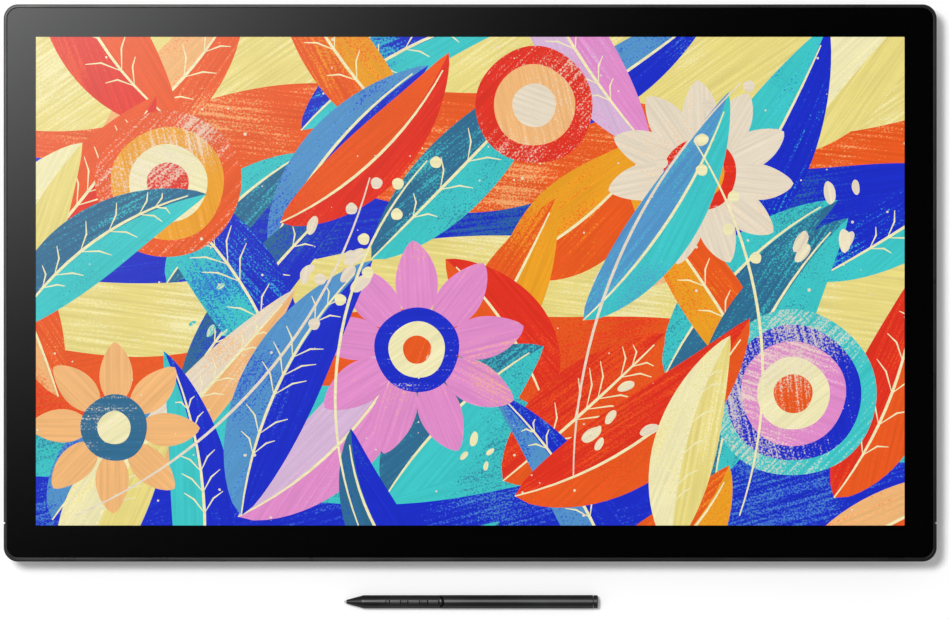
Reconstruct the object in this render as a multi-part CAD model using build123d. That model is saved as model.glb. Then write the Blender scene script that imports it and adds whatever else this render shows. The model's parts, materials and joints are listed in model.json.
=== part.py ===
from build123d import *
import os

# A pen display, which is a drawing tablet with a built-in screen, and its three-button pen.
# The tablet lies flat, glass up (+Z), with its top edge towards +Y. The pen lies in front of it with
# its nib towards -X. The origin is on the desk, under the middle of the whole set. All in millimetres.

# Outline: a 23.8-inch 16:9 screen and the black borders round it
screen_width = 527.04
screen_depth = 296.46
side_border = 19.48
top_border = 19.7
bottom_border = 21.9
corner_radius = 8.7
body_thickness = 21.0
foot_height = 2.0

# Front frame: a thin rim round the glass, a ledge under it and a wall down to the rear cover
rim_width = 1.9
bottom_rim_width = 2.2
rim_rise = 0.15
glass_gap = 0.3
frame_wall = 2.5
ledge_thickness = 1.2
module_clearance = 0.4
frame_skirt = 0.6
notch_from_bottom = 23.4
notch_width = 1.3
notch_depth = 1.1
boss_radius = 3.0
boss_row_count = 5
boss_row_end_inset = 83.0
boss_column_count = 4
boss_column_end_inset = 49.0

# Screen stack, from the glass down
glass_thickness = 1.1
mask_thickness = 0.1
gasket_thickness = 0.2
gasket_width = 6.0
gasket_edge = 0.5
bond_thickness = 0.4
lcd_thickness = 1.2
film_thickness = 0.3
guide_thickness = 2.5
reflector_thickness = 0.3
sensor_thickness = 0.8
shield_thickness = 0.5
plate_thickness = 1.0
module_margin = 3.5
module_foot_margin = 10.0
sensor_margin = 6.0
backlight_wall = 1.5
stack_clearance = 0.3
plate_edge_gap = 1.0

# Backlight strip along the screen's lower edge
led_strip_thickness = 0.4
led_depth = 2.2
led_width = 4.0
led_height = 1.8
led_pitch = 12.5
led_end_gap = 8.0

# Driver board behind the screen's lower edge, and the flexes that fold round to it
driver_board_end = 4.0
driver_board_depth = 16.0
driver_board_thickness = 1.0
driver_board_setback = 1.1
tab_width = 36.0
tab_thickness = 0.1
tab_fold_gap = 0.5
tab_overlap = 2.0
tab_slot_margin = 2.0
tab_room = 1.1

# Rear cover: a tray with bevelled sides
bevel_inset = 12.0
cover_wall = 2.0
cover_side_wall = 2.4
cover_boss_radius = 4.0
cover_screw_side_inset = 38.0
cover_screw_board_gap = 10.0
cover_screw_front_inset = 49.0
cover_screw_back_inset = 51.0

# Screws: M3 through the rear cover, M2.5 under the chassis plate and the main board
cover_screw_radius = 1.5
cover_screw_head_radius = 2.75
cover_screw_head_height = 1.7
cover_screw_recess = 0.5
cover_screw_recess_clearance = 0.45
small_screw_radius = 1.25
small_screw_head_radius = 2.25
small_screw_head_height = 1.5
chassis_screw_length = 4.0
thread_clearance = 0.05
screw_clearance = 0.2
hex_share = 0.55
hex_depth_share = 0.6

# Monitor-arm mount: four M4 inserts on a 100 mm square
vesa_spacing = 100.0
vesa_board_gap = 10.5
vesa_hole_radius = 2.0
insert_radius = 3.5
insert_length = 10.0
vesa_boss_radius = 6.0

# Main board and what is on it
board_width = 170.0
board_depth = 70.0
board_thickness = 1.6
board_over_back = 7.0
board_edge_gap = 0.5
board_hole_inset = 5.0
standoff_radius = 2.5
chip_height = 1.6
spreader_width = 96.0
spreader_depth = 36.0
spreader_thickness = 1.0
connector_width = 24.0
connector_depth = 5.0
connector_row_gap = 2.0
connector_gap = 6.5
display_flex_boss_gap = 6.5
display_flex_width = 20.0
display_flex_thickness = 0.2
sensor_flex_width = 18.0
sensor_flex_thickness = 0.3
flex_slot_clearance = 0.6
chip_sizes = [(20.0, 20.0), (12.0, 9.0), (12.0, 9.0), (8.0, 8.0), (7.0, 7.0)]
chip_place_shares = [(-0.06, 0.10), (-0.23, 0.16), (-0.23, -0.02), (0.12, 0.16), (0.20, -0.02)]

# Port bay: a recess in the upper back edge, with the sockets facing the top edge
bay_width = 150.0
bay_depth = 38.0
bay_wall = 2.0
bay_ceiling = 2.4
port_height = 3.3
port_length = 9.5
port_shell = 0.3
port_cavity_depth = 7.0
port_tongue_depth = 5.5
port_tongue_thickness = 0.7
port_tongue_side_gap = 0.9
port_cut_clearance = 0.15
usb_width = 9.0
usb_xs = [-44.0, -18.0]
hdmi_width = 11.2
hdmi_x = 14.0
lock_x = 52.0
lock_slot_width = 7.0
lock_slot_height = 3.0
lock_plate_width = 12.0
lock_plate_height = 4.6
lock_plate_thickness = 1.2
lock_plate_gap = 0.3

# Power button and status lens in the top edge
power_x_inset = 63.0
power_button_width = 12.0
power_button_height = 3.0
power_button_clearance = 0.15
power_travel = 0.5
power_flange_width = 14.0
power_flange_height = 4.2
power_flange_thickness = 1.2
power_flange_gap = 0.1
power_stem_width = 4.0
power_stem_height = 2.0
power_stem_length = 1.0
button_board_width = 34.0
button_board_depth = 6.0
button_board_thickness = 1.0
switch_width = 6.0
switch_depth = 4.0
switch_height = 2.8
plunger_radius = 0.9
plunger_length = 0.7
plunger_gap = 0.1
lens_offset = 12.0
lens_radius = 1.0
lens_clearance = 0.05

# Fold-out legs, each in its own pocket in the back
leg_x_inset = 93.0
leg_hinge_inset = 57.0
leg_width = 44.0
leg_length = 88.0
leg_thickness = 7.0
leg_recess = 0.5
leg_side_clearance = 1.0
leg_end_clearance = 1.0
leg_roof_clearance = 0.8
leg_skin = 2.2
leg_rib = 2.4
leg_hollow_start = 12.0
leg_edge_radius = 1.5
leg_pad_length = 6.0
leg_pad_radius = 2.5
hinge_pin_radius = 1.5
hinge_pin_clearance = 0.06
hinge_pin_seat = 0.02
hinge_ear = 5.0
pocket_wall = 1.6
finger_notch_width = 24.0
finger_notch_length = 14.0
finger_notch_depth = 6.4

# Rubber feet
foot_width = 9.0
front_foot_length = 80.0
rear_foot_length = 60.0
side_foot_length = 30.0
front_foot_side_inset = 83.0
front_foot_inset = 24.0
rear_foot_x = 130.0
rear_foot_inset = 34.0
side_foot_inset = 33.0

# Pen: lies in front of the tablet. Its stations are measured along it, from the tip of the nib.
pen_gap = 25.3
pen_tip_x = -76.9
pen_radius = 4.05
grip_radius = 3.98
barrel_bore = 3.2
grip_bore = 3.1
nib_radius = 0.7
nib_round = 0.45
nib_length = 20.0
nib_clearance = 0.08
nib_reach = 1.4
nib_tail = 1.0
nose_tip_radius = 1.15
nose_tip_round = 0.3
nose_end = 11.9
nose_spigot_length = 4.0
nose_spigot_bore = 2.35
spigot_clearance = 0.05
nose_chamber_start = 9.0
ferrite_start = 9.5
ferrite_radius = 1.7
ferrite_clearance = 0.15
coil_start = 12.0
coil_length = 6.5
coil_clearance = 0.05
coil_room = 0.1
pressure_gap = 0.2
pressure_clearance = 0.3
pressure_length = 6.0
pressure_cup_clearance = 0.1
pressure_cup_room = 0.6
grip_tail = 0.4
tongue_reach = 1.5
tongue_radius = 3.0
tongue_gap = 1.0
joint_spigot_bore = 2.6
joint_spigot_lead = 0.3
joint_spigot_length = 5.5
joint_ring_length = 1.0
barrel_seam = 95.0
pen_length = 154.7
eraser_cap_length = 2.6
eraser_step = 0.1
eraser_round = 0.6
eraser_travel = 0.2
eraser_float = 0.1
eraser_stem_radius = 1.42
eraser_stem_clearance = 0.08
eraser_stem_length = 6.1
bulkhead_setback = 0.4
bulkhead_thickness = 1.6
tail_switch_gap = 0.7
tail_switch_length = 5.3
inner_clearance = 0.1
weight_start = 110.0
weight_length = 14.0

# Side switches of the pen, in a slot along its top
strip_start = 25.4
spacer_lengths = [2.0, 4.0, 4.4]
button_lengths = [7.3, 7.6, 7.3]
strip_tail = 0.1
strip_width = 2.4
strip_clearance = 0.1
strip_depth = 1.28
strip_floor_thickness = 0.4
pen_button_gap = 0.45
pen_button_rise = 0.1
pen_button_crown = 6.0
pen_button_travel = 0.35
pen_button_float = 0.1
stem_inset = 0.9
stem_width = 1.1
stem_clearance = 0.15
tick_width = 0.4
tick_pitch = 1.1
tick_depth = 0.2
tick_count = 3
switch_board_gap = 0.4
switch_board_setback = 1.0
switch_board_width = 5.2
switch_board_thickness = 0.8
switch_board_height = 0.4
dome_length = 3.0
dome_width = 2.4
dome_height = 0.6

# One overrun serves all cuts that go right through
overrun = 1.0

# Levels, from the desk up and from the rim down
back_z = foot_height
rim_top = back_z + body_thickness
glass_top = rim_top - rim_rise
glass_bottom = glass_top - glass_thickness
mask_bottom = glass_bottom - mask_thickness
ledge_top = mask_bottom - gasket_thickness
ledge_bottom = ledge_top - ledge_thickness
lcd_top = glass_bottom - bond_thickness
lcd_bottom = lcd_top - lcd_thickness
prism_bottom = lcd_bottom - film_thickness
diffuser_bottom = prism_bottom - film_thickness
guide_bottom = diffuser_bottom - guide_thickness
reflector_bottom = guide_bottom - reflector_thickness
sensor_bottom = reflector_bottom - sensor_thickness
plate_top = sensor_bottom - shield_thickness
plate_bottom = plate_top - plate_thickness
frame_bottom = plate_bottom - frame_skirt
floor_z = back_z + cover_wall
board_bottom = back_z + board_over_back
board_top = board_bottom + board_thickness
port_z = board_bottom - port_height / 2
lock_z = board_bottom - lock_plate_gap - lock_plate_height / 2
hinge_z = back_z + leg_recess + leg_thickness / 2

# Places across the tablet, measured from its own centre
width = screen_width + 2 * side_border
depth = screen_depth + top_border + bottom_border
half_width = width / 2
half_depth = depth / 2
screen_y = (bottom_border - top_border) / 2
wall_inner_x = half_width - frame_wall
wall_inner_y = half_depth - frame_wall
glass_width = width - 2 * (rim_width + glass_gap)
glass_depth = depth - rim_width - bottom_rim_width - 2 * glass_gap
glass_y = (bottom_rim_width - rim_width) / 2
module_half_width = screen_width / 2 + module_margin
module_top_y = screen_y + screen_depth / 2 + module_margin
module_foot_y = screen_y - screen_depth / 2 - module_foot_margin
sensor_half_width = screen_width / 2 + sensor_margin
sensor_top_y = screen_y + screen_depth / 2 + sensor_margin
tab_fold_y = module_foot_y - tab_fold_gap - tab_thickness
ledge_foot_y = module_foot_y - tab_room
boss_side_x = (sensor_half_width + wall_inner_x) / 2
boss_top_y = (sensor_top_y + wall_inner_y) / 2
boss_foot_y = (tab_fold_y - wall_inner_y) / 2
boss_pitch_x = 2 * (half_width - boss_row_end_inset) / (boss_row_count - 1)
boss_pitch_y = 2 * (half_depth - boss_column_end_inset) / (boss_column_count - 1)
bay_back_y = half_depth - bay_depth
board_back_y = bay_back_y - bay_wall - board_edge_gap
board_front_y = board_back_y - board_depth
connector_y = board_front_y + board_hole_inset + standoff_radius + connector_row_gap
sensor_flex_y = connector_y + connector_depth / 2
display_flex_x = vesa_spacing / 2 - vesa_boss_radius - display_flex_boss_gap - display_flex_width / 2
sensor_flex_x = display_flex_x + connector_width / 2 + connector_gap + sensor_flex_width / 2
vesa_center_y = board_front_y - vesa_board_gap - vesa_boss_radius - vesa_spacing / 2
cover_screw_inner_x = board_width / 2 + cover_screw_board_gap
leg_x = half_width - leg_x_inset
hinge_y = half_depth - leg_hinge_inset
power_x = half_width - power_x_inset
power_z = (plate_top + ledge_bottom) / 2

# Places along the pen, measured from the tip of its nib
ferrite_end = nib_length - nib_tail
pressure_start = ferrite_end + pressure_gap
strip_end = strip_start + sum(spacer_lengths) + sum(button_lengths) + strip_tail
grip_end = strip_end + grip_tail
tongue_tip = grip_end + tongue_reach
switch_board_start = pressure_start + pressure_length + switch_board_gap
switch_board_end = grip_end - switch_board_setback
eraser_start = pen_length - eraser_cap_length
barrel_end = eraser_start - eraser_travel - eraser_float
bulkhead_end = barrel_end - bulkhead_setback
eraser_stem_end = eraser_start - eraser_stem_length
tail_switch_end = eraser_stem_end - tail_switch_gap

# Radii in the pen, and heights above its axis
nose_spigot_radius = grip_bore - spigot_clearance
joint_spigot_radius = barrel_bore - spigot_clearance
coil_radius = nose_spigot_bore - coil_room
inner_radius = barrel_bore - inner_clearance
strip_floor = grip_radius - strip_depth
strip_top = strip_floor + strip_floor_thickness
switch_board_top = switch_board_height + switch_board_thickness
dome_top = switch_board_top + dome_height

# The set's origin is under the middle of the tablet and pen together
tablet_y = (pen_gap + pen_radius) / 2
pen_y = tablet_y - half_depth - pen_gap


def block(x_low, x_high, y_low, y_high, z_low, z_high):
    """A box between two corners."""
    center = Pos((x_low + x_high) / 2, (y_low + y_high) / 2, (z_low + z_high) / 2)
    return center * Box(x_high - x_low, y_high - y_low, z_high - z_low)


def plate(size_x, size_y, radius, z_low, z_high, y=0):
    """A flat plate with round corners."""
    outline = Pos(0, y, z_low) * RectangleRounded(size_x, size_y, radius)
    return extrude(outline, z_high - z_low, dir=(0, 0, 1))


def post(radius, x, y, z_low, z_high):
    """An upright cylinder."""
    return Pos(x, y, (z_low + z_high) / 2) * Cylinder(radius, z_high - z_low)


def rod(radius, start, end):
    """A cylinder along X."""
    return Pos((start + end) / 2, 0, 0) * Rot(0, 90, 0) * Cylinder(radius, end - start)


def hollow_rod(radius, bore, start, end):
    """A tube along X."""
    return rod(radius, start, end) - rod(bore, start - overrun, end + overrun)


def slot_prism(size_x, size_z, x, z, y_low, y_high):
    """A prism along Y with a round-ended section."""
    outline = Pos(x, y_low, z) * Rot(-90, 0, 0) * SlotOverall(size_x, size_z)
    return extrude(outline, y_high - y_low, dir=(0, 1, 0))


def bezel(size_x, size_y, radius, z_low, z_high):
    """A plate of the tablet's outline that narrows from size_x by size_y down to the flat back."""
    foot = Pos(0, 0, z_low) * RectangleRounded(size_x - 2 * bevel_inset, size_y - 2 * bevel_inset, radius)
    top = Pos(0, 0, z_high) * RectangleRounded(size_x, size_y, radius)
    return loft([foot.face(), top.face()], ruled=True)


def spread(count, pitch):
    """Places of a centred row."""
    return [(index - (count - 1) / 2) * pitch for index in range(count)]


def screw(radius, length, head_radius, head_height):
    """A screw with its head's underside at zero, its shank up +Z, and a hexagon socket."""
    shank = post(radius, 0, 0, 0, length)
    head = post(head_radius, 0, 0, -head_height, 0)
    socket = Pos(0, 0, -head_height) * RegularPolygon(head_radius * hex_share, 6)
    return shank + head - extrude(socket, head_height * hex_depth_share, dir=(0, 0, 1))


def frame_boss_places():
    """Centres of the bosses round the frame, between the screen stack and the frame's wall."""
    row = spread(boss_row_count, boss_pitch_x)
    column = spread(boss_column_count, boss_pitch_y)
    top_and_foot = [(x, y) for x in row for y in (boss_top_y, boss_foot_y)]
    sides = [(side * boss_side_x, y) for side in (-1, 1) for y in column]
    return top_and_foot + sides


def tab_places():
    """Centres of the screen's flexes, midway between the bosses of the lower row."""
    return spread(boss_row_count - 1, boss_pitch_x)


def cover_screw_places():
    """Centres of the screws through the back."""
    outer_x = half_width - cover_screw_side_inset
    rows = (-half_depth + cover_screw_front_inset, half_depth - cover_screw_back_inset)
    columns = (-outer_x, -cover_screw_inner_x, cover_screw_inner_x, outer_x)
    return [(x, y) for x in columns for y in rows]


def vesa_places():
    """Centres of the four inserts for a monitor arm."""
    half = vesa_spacing / 2
    return [(x, vesa_center_y + y) for x in (-half, half) for y in (-half, half)]


def board_hole_places():
    """Centres of the main board's fixings."""
    x = board_width / 2 - board_hole_inset
    rows = (board_front_y + board_hole_inset, board_back_y - board_hole_inset - port_length)
    return [(column, row) for column in (-x, 0, x) for row in rows]


# The glass and the screen stack

def make_cover_glass():
    radius = corner_radius - rim_width - glass_gap
    return plate(glass_width, glass_depth, radius, glass_bottom, glass_top, glass_y)


def make_border_mask():
    radius = corner_radius - rim_width - glass_gap
    ring = plate(glass_width, glass_depth, radius, mask_bottom, glass_bottom, glass_y)
    return ring - screen_block(0, mask_bottom - overrun, glass_bottom + overrun)


def make_glass_gasket():
    outer_x = glass_width - 2 * gasket_edge
    outer_y = glass_depth - 2 * gasket_edge
    radius = corner_radius - rim_width - glass_gap - gasket_edge
    ring = plate(outer_x, outer_y, radius, ledge_top, mask_bottom, glass_y)
    inner_x = outer_x - 2 * gasket_width
    inner_y = outer_y - 2 * gasket_width
    hole = Pos(0, glass_y, (ledge_top + mask_bottom) / 2) * Box(inner_x, inner_y, gasket_thickness + overrun)
    return ring - hole


def screen_block(margin, z_low, z_high):
    """A block of the lit screen's size, or larger by a margin on each side."""
    half_x = screen_width / 2 + margin
    half_y = screen_depth / 2 + margin
    return block(-half_x, half_x, screen_y - half_y, screen_y + half_y, z_low, z_high)


def module_block(inset, foot_inset, z_low, z_high):
    """A block of the screen module's size, or smaller by an inset on each side."""
    half_x = module_half_width - inset
    return block(-half_x, half_x, module_foot_y + foot_inset, module_top_y - inset, z_low, z_high)


def make_optical_bond():
    return screen_block(-stack_clearance, lcd_top, glass_bottom)


def make_lcd_panel():
    return module_block(0, 0, lcd_bottom, lcd_top)


def light_inset():
    return backlight_wall + stack_clearance


def light_foot_inset():
    return backlight_wall + led_strip_thickness + led_depth + stack_clearance


def make_prism_film():
    return module_block(light_inset(), light_foot_inset(), prism_bottom, lcd_bottom)


def make_diffuser_film():
    return module_block(light_inset(), light_foot_inset(), diffuser_bottom, prism_bottom)


def make_light_guide():
    return module_block(light_inset(), light_foot_inset(), guide_bottom, diffuser_bottom)


def make_reflector_sheet():
    return module_block(light_inset(), light_inset(), reflector_bottom, guide_bottom)


def make_backlight_frame():
    ring = module_block(0, 0, reflector_bottom, lcd_bottom)
    low = reflector_bottom - overrun
    high = lcd_bottom + overrun
    return ring - module_block(backlight_wall, backlight_wall, low, high)


def make_led_strip():
    """A thin strip along the light guide's lower edge, with a row of lamps on it."""
    reach = module_half_width - light_inset() - led_end_gap
    strip_y = module_foot_y + backlight_wall
    y_low = strip_y + led_strip_thickness
    parts = [block(-reach, reach, strip_y, y_low, guide_bottom, diffuser_bottom)]
    z_low = (guide_bottom + diffuser_bottom - led_height) / 2
    half = led_width / 2
    count = int((2 * reach - led_width) / led_pitch) + 1
    for x in spread(count, led_pitch):
        parts.append(block(x - half, x + half, y_low, y_low + led_depth, z_low, z_low + led_height))
    return parts


def make_driver_board():
    half = max(tab_places()) + tab_width / 2 + driver_board_end
    y_low = module_foot_y + driver_board_setback
    z_low = plate_bottom - driver_board_thickness
    return block(-half, half, y_low, y_low + driver_board_depth, z_low, plate_bottom)


def make_lcd_flexes():
    """Flat tabs from the panel's lower edge, round the stack and under the driver board."""
    tabs = []
    low = plate_bottom - driver_board_thickness - tab_thickness
    high = lcd_top + tab_thickness
    board_y = module_foot_y + driver_board_setback + tab_overlap
    for x in tab_places():
        x_low = x - tab_width / 2
        x_high = x + tab_width / 2
        upright = block(x_low, x_high, tab_fold_y, tab_fold_y + tab_thickness, low, high)
        over = block(x_low, x_high, tab_fold_y, module_foot_y + tab_overlap, lcd_top, high)
        under = block(x_low, x_high, tab_fold_y, board_y, low, low + tab_thickness)
        tabs.append(upright + over + under)
    return tabs


def make_sensor_board():
    flex_slot = sensor_flex_slot(sensor_bottom, reflector_bottom)
    return screen_block(sensor_margin, sensor_bottom, reflector_bottom) - flex_slot


def make_shield_plate():
    return screen_block(sensor_margin, plate_top, sensor_bottom) - sensor_flex_slot(plate_top, sensor_bottom)


# The frame and the chassis plate

def make_front_frame():
    """Rim, ledge and outer wall in one ring, with bosses under the ledge."""
    ring = plate(width, depth, corner_radius, frame_bottom, rim_top)
    opening_x = glass_width + 2 * glass_gap
    opening_y = glass_depth + 2 * glass_gap
    ring -= plate(opening_x, opening_y, corner_radius - rim_width, ledge_top, rim_top + overrun, glass_y)
    inner_x = 2 * wall_inner_x
    inner_y = 2 * wall_inner_y
    inner_radius_xy = corner_radius - frame_wall
    ring -= plate(inner_x, inner_y, inner_radius_xy, frame_bottom - overrun, ledge_bottom)
    half_x = module_half_width + module_clearance
    top_y = module_top_y + module_clearance
    ring -= block(-half_x, half_x, ledge_foot_y, top_y, ledge_bottom - overrun, ledge_top + overrun)
    for x, y in frame_boss_places():
        ring += post(boss_radius, x, y, plate_top, ledge_bottom)
    for x, y in frame_boss_places():
        ring -= post(small_screw_radius + thread_clearance, x, y, plate_top - overrun, ledge_bottom)
    ring -= side_notches()
    ring -= power_button_hole()
    ring -= lens_hole()
    return ring


def side_notches():
    """A narrow notch across each side edge, near the lower corner."""
    y = -half_depth + notch_from_bottom
    cuts = []
    for side in (-1, 1):
        x = side * half_width
        y_low = y - notch_width / 2
        y_high = y + notch_width / 2
        cuts.append(block(x - notch_depth, x + notch_depth, y_low, y_high, back_z, rim_top + overrun))
    return cuts


def make_chassis_plate():
    size_x = 2 * (wall_inner_x - plate_edge_gap)
    size_y = 2 * (wall_inner_y - plate_edge_gap)
    sheet = plate(size_x, size_y, corner_radius - frame_wall - plate_edge_gap, plate_bottom, plate_top)
    low = plate_bottom - overrun
    high = plate_top + overrun
    for x, y in frame_boss_places():
        sheet -= post(small_screw_radius + thread_clearance, x, y, low, high)
    for x, y in cover_screw_places():
        sheet -= post(cover_screw_radius + thread_clearance, x, y, low, high)
    for x in tab_places():
        half = tab_width / 2 + tab_slot_margin
        sheet -= block(x - half, x + half, -half_depth, module_foot_y + tab_thickness, low, high)
    return sheet - sensor_flex_slot(low, high)


def make_chassis_screws():
    shape = screw(small_screw_radius, plate_thickness + chassis_screw_length, small_screw_head_radius,
                  small_screw_head_height)
    return [Pos(x, y, plate_bottom) * shape for x, y in frame_boss_places()]


# The main board

def make_main_board():
    half = board_width / 2
    board = block(-half, half, board_front_y, board_back_y, board_bottom, board_top)
    hole_radius = small_screw_radius + screw_clearance
    for x, y in board_hole_places():
        board -= post(hole_radius, x, y, board_bottom - overrun, board_top + overrun)
    return board


def make_board_standoffs():
    posts = []
    for x, y in board_hole_places():
        outer = post(standoff_radius, x, y, board_top, plate_bottom)
        bore = post(small_screw_radius + thread_clearance, x, y, board_top - overrun, plate_bottom + overrun)
        posts.append(outer - bore)
    return posts


def make_board_screws():
    length = plate_bottom - board_bottom
    shape = screw(small_screw_radius, length, small_screw_head_radius, small_screw_head_height)
    return [Pos(x, y, board_bottom) * shape for x, y in board_hole_places()]


def make_board_chips():
    """Chips under the board, and the tall connector on it that the display flex reaches."""
    center_y = (board_front_y + board_back_y) / 2
    parts = []
    for (size_x, size_y), (share_x, share_y) in zip(chip_sizes, chip_place_shares):
        place = Pos(share_x * board_width, center_y + share_y * board_depth, board_bottom - chip_height / 2)
        parts.append(place * Box(size_x, size_y, chip_height))
    x_low = display_flex_x - connector_width / 2
    x_high = display_flex_x + connector_width / 2
    y_high = connector_y + connector_depth
    z_high = plate_bottom - display_flex_thickness
    parts.append(block(x_low, x_high, connector_y, y_high, board_top, z_high))
    return parts


def make_heat_spreader():
    center_y = (board_front_y + board_back_y) / 2 + chip_place_shares[0][1] * board_depth
    z_high = board_bottom - chip_height
    half = spreader_width / 2
    low_y = center_y - spreader_depth / 2
    return block(-half, half, low_y, low_y + spreader_depth, z_high - spreader_thickness, z_high)


def make_display_flex():
    """A flat flex under the chassis plate, from the driver board to the main board's connector."""
    half = display_flex_width / 2
    y_low = module_foot_y + driver_board_setback + driver_board_depth
    y_high = connector_y + connector_depth
    return block(display_flex_x - half, display_flex_x + half, y_low, y_high,
                 plate_bottom - display_flex_thickness, plate_bottom)


def make_sensor_flex():
    """A short upright flex through the chassis plate, from the main board to the sensor board."""
    half = sensor_flex_width / 2
    half_thickness = sensor_flex_thickness / 2
    return block(sensor_flex_x - half, sensor_flex_x + half, sensor_flex_y - half_thickness,
                 sensor_flex_y + half_thickness, board_top, reflector_bottom)


def sensor_flex_slot(z_low, z_high):
    half_x = sensor_flex_width / 2 + flex_slot_clearance
    half_y = sensor_flex_thickness / 2 + flex_slot_clearance
    return block(sensor_flex_x - half_x, sensor_flex_x + half_x, sensor_flex_y - half_y,
                 sensor_flex_y + half_y, z_low, z_high)


# Sockets in the port bay

def port_shell_shape(size_x, x, round_ends):
    """A metal socket shell along Y, open towards +Y, with a tongue inside."""
    y_high = bay_back_y
    y_low = y_high - port_length
    cavity_x = size_x - 2 * port_shell
    cavity_z = port_height - 2 * port_shell
    cavity_y = y_high - port_cavity_depth
    if round_ends:
        shell = slot_prism(size_x, port_height, x, port_z, y_low, y_high)
        shell -= slot_prism(cavity_x, cavity_z, x, port_z, cavity_y, y_high + overrun)
    else:
        shell = port_box(size_x, port_height, x, y_low, y_high)
        shell -= port_box(cavity_x, cavity_z, x, cavity_y, y_high + overrun)
    tongue_x = cavity_x - 2 * port_tongue_side_gap
    return shell + port_box(tongue_x, port_tongue_thickness, x, cavity_y, cavity_y + port_tongue_depth)


def port_box(size_x, size_z, x, y_low, y_high):
    return block(x - size_x / 2, x + size_x / 2, y_low, y_high, port_z - size_z / 2, port_z + size_z / 2)


def make_usb_c_sockets():
    return [port_shell_shape(usb_width, x, True) for x in usb_xs]


def make_hdmi_socket():
    return port_shell_shape(hdmi_width, hdmi_x, False)


def make_lock_plate():
    half = lock_plate_width / 2
    half_z = lock_plate_height / 2
    y_high = bay_back_y - bay_wall
    sheet = block(lock_x - half, lock_x + half, y_high - lock_plate_thickness, y_high,
                  lock_z - half_z, lock_z + half_z)
    return sheet - lock_slot()


def lock_slot():
    half = lock_slot_width / 2
    half_z = lock_slot_height / 2
    y_low = bay_back_y - bay_wall - lock_plate_thickness - overrun
    return block(lock_x - half, lock_x + half, y_low, bay_back_y + overrun, lock_z - half_z, lock_z + half_z)


# Power button

def power_button_hole():
    clearance = 2 * power_button_clearance
    size_x = power_button_width + clearance
    size_z = power_button_height + clearance
    y_low = wall_inner_y - overrun
    return slot_prism(size_x, size_z, power_x, power_z, y_low, half_depth + overrun)


def make_power_button():
    """A pill-shaped cap flush with the top edge, with a flange behind the wall and a stem."""
    flange_high = wall_inner_y - power_flange_gap
    flange_low = flange_high - power_flange_thickness
    cap = slot_prism(power_button_width, power_button_height, power_x, power_z, flange_low, half_depth)
    flange = slot_prism(power_flange_width, power_flange_height, power_x, power_z, flange_low, flange_high)
    half_x = power_stem_width / 2
    half_z = power_stem_height / 2
    stem = block(power_x - half_x, power_x + half_x, flange_low - power_stem_length, flange_low,
                 power_z - half_z, power_z + half_z)
    return cap + flange + stem


def plunger_tip_y():
    flange_low = wall_inner_y - power_flange_gap - power_flange_thickness
    return flange_low - power_stem_length - power_travel - plunger_gap


def make_power_switch():
    y_high = plunger_tip_y() - plunger_length
    half = switch_width / 2
    z_low = plate_top + button_board_thickness
    body = block(power_x - half, power_x + half, y_high - switch_depth, y_high, z_low, z_low + switch_height)
    plunger = Pos(power_x, y_high + plunger_length / 2, power_z) * Rot(90, 0, 0)
    return body + plunger * Cylinder(plunger_radius, plunger_length)


def make_button_board():
    y_high = plunger_tip_y() - plunger_length
    half = button_board_width / 2
    return block(power_x - half, power_x + half, y_high - button_board_depth, y_high,
                 plate_top, plate_top + button_board_thickness)


def lens_rod(radius, y_low, y_high):
    """A cylinder along Y at the status lens."""
    place = Pos(power_x + lens_offset, (y_low + y_high) / 2, power_z) * Rot(90, 0, 0)
    return place * Cylinder(radius, y_high - y_low)


def lens_hole():
    return lens_rod(lens_radius + lens_clearance, wall_inner_y - overrun, half_depth + overrun)


def make_status_lens():
    return lens_rod(lens_radius, plunger_tip_y(), half_depth)


# Rear cover, port bay and leg pockets

def cover_outer():
    return bezel(width, depth, corner_radius, back_z, frame_bottom)


def cover_inner():
    """The tray's inside, parallel to its bevelled sides."""
    slope = bevel_inset / (frame_bottom - back_z)
    foot_inset = bevel_inset - slope * cover_wall + cover_side_wall
    foot_x = width - 2 * foot_inset
    foot_y = depth - 2 * foot_inset
    top_x = width - 2 * cover_side_wall
    top_y = depth - 2 * cover_side_wall
    radius = corner_radius - cover_side_wall
    foot = Pos(0, 0, floor_z) * RectangleRounded(foot_x, foot_y, radius)
    top = Pos(0, 0, frame_bottom) * RectangleRounded(top_x, top_y, radius)
    return loft([foot.face(), top.face()], ruled=True)


def bay_outer():
    half = bay_width / 2 + bay_wall
    return block(-half, half, bay_back_y - bay_wall, half_depth + overrun, back_z - overrun, frame_bottom)


def make_port_bay():
    half = bay_width / 2
    ceiling = frame_bottom - bay_ceiling
    recess = block(-half, half, bay_back_y, half_depth + 2 * overrun, back_z - 2 * overrun, ceiling)
    bay = (bay_outer() & cover_outer()) - recess
    grow = 2 * port_cut_clearance
    y_low = bay_back_y - bay_wall - overrun
    for x in usb_xs:
        bay -= slot_prism(usb_width + grow, port_height + grow, x, port_z, y_low, bay_back_y + overrun)
    bay -= port_box(hdmi_width + grow, port_height + grow, hdmi_x, y_low, bay_back_y + overrun)
    head_z = plate_bottom - small_screw_head_height - screw_clearance
    for x, y in frame_boss_places():
        bay -= post(small_screw_head_radius + screw_clearance, x, y, head_z, frame_bottom + overrun)
    return bay - lock_slot()


def pocket_space(side, grow, z_low, roof_z, notch_z):
    """The leg's pocket with its finger notch, or the same larger by a wall's thickness."""
    x = side * leg_x
    half = leg_width / 2 + leg_side_clearance + grow
    y_high = hinge_y + leg_thickness / 2 + leg_end_clearance + grow
    pad_end = hinge_y - leg_length - leg_pad_length - leg_end_clearance
    main = block(x - half, x + half, pad_end - grow, y_high, z_low, roof_z)
    notch_half = finger_notch_width / 2 + grow
    notch_end = pad_end - finger_notch_length - grow
    return main + block(x - notch_half, x + notch_half, notch_end, pad_end, z_low, notch_z)


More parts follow.
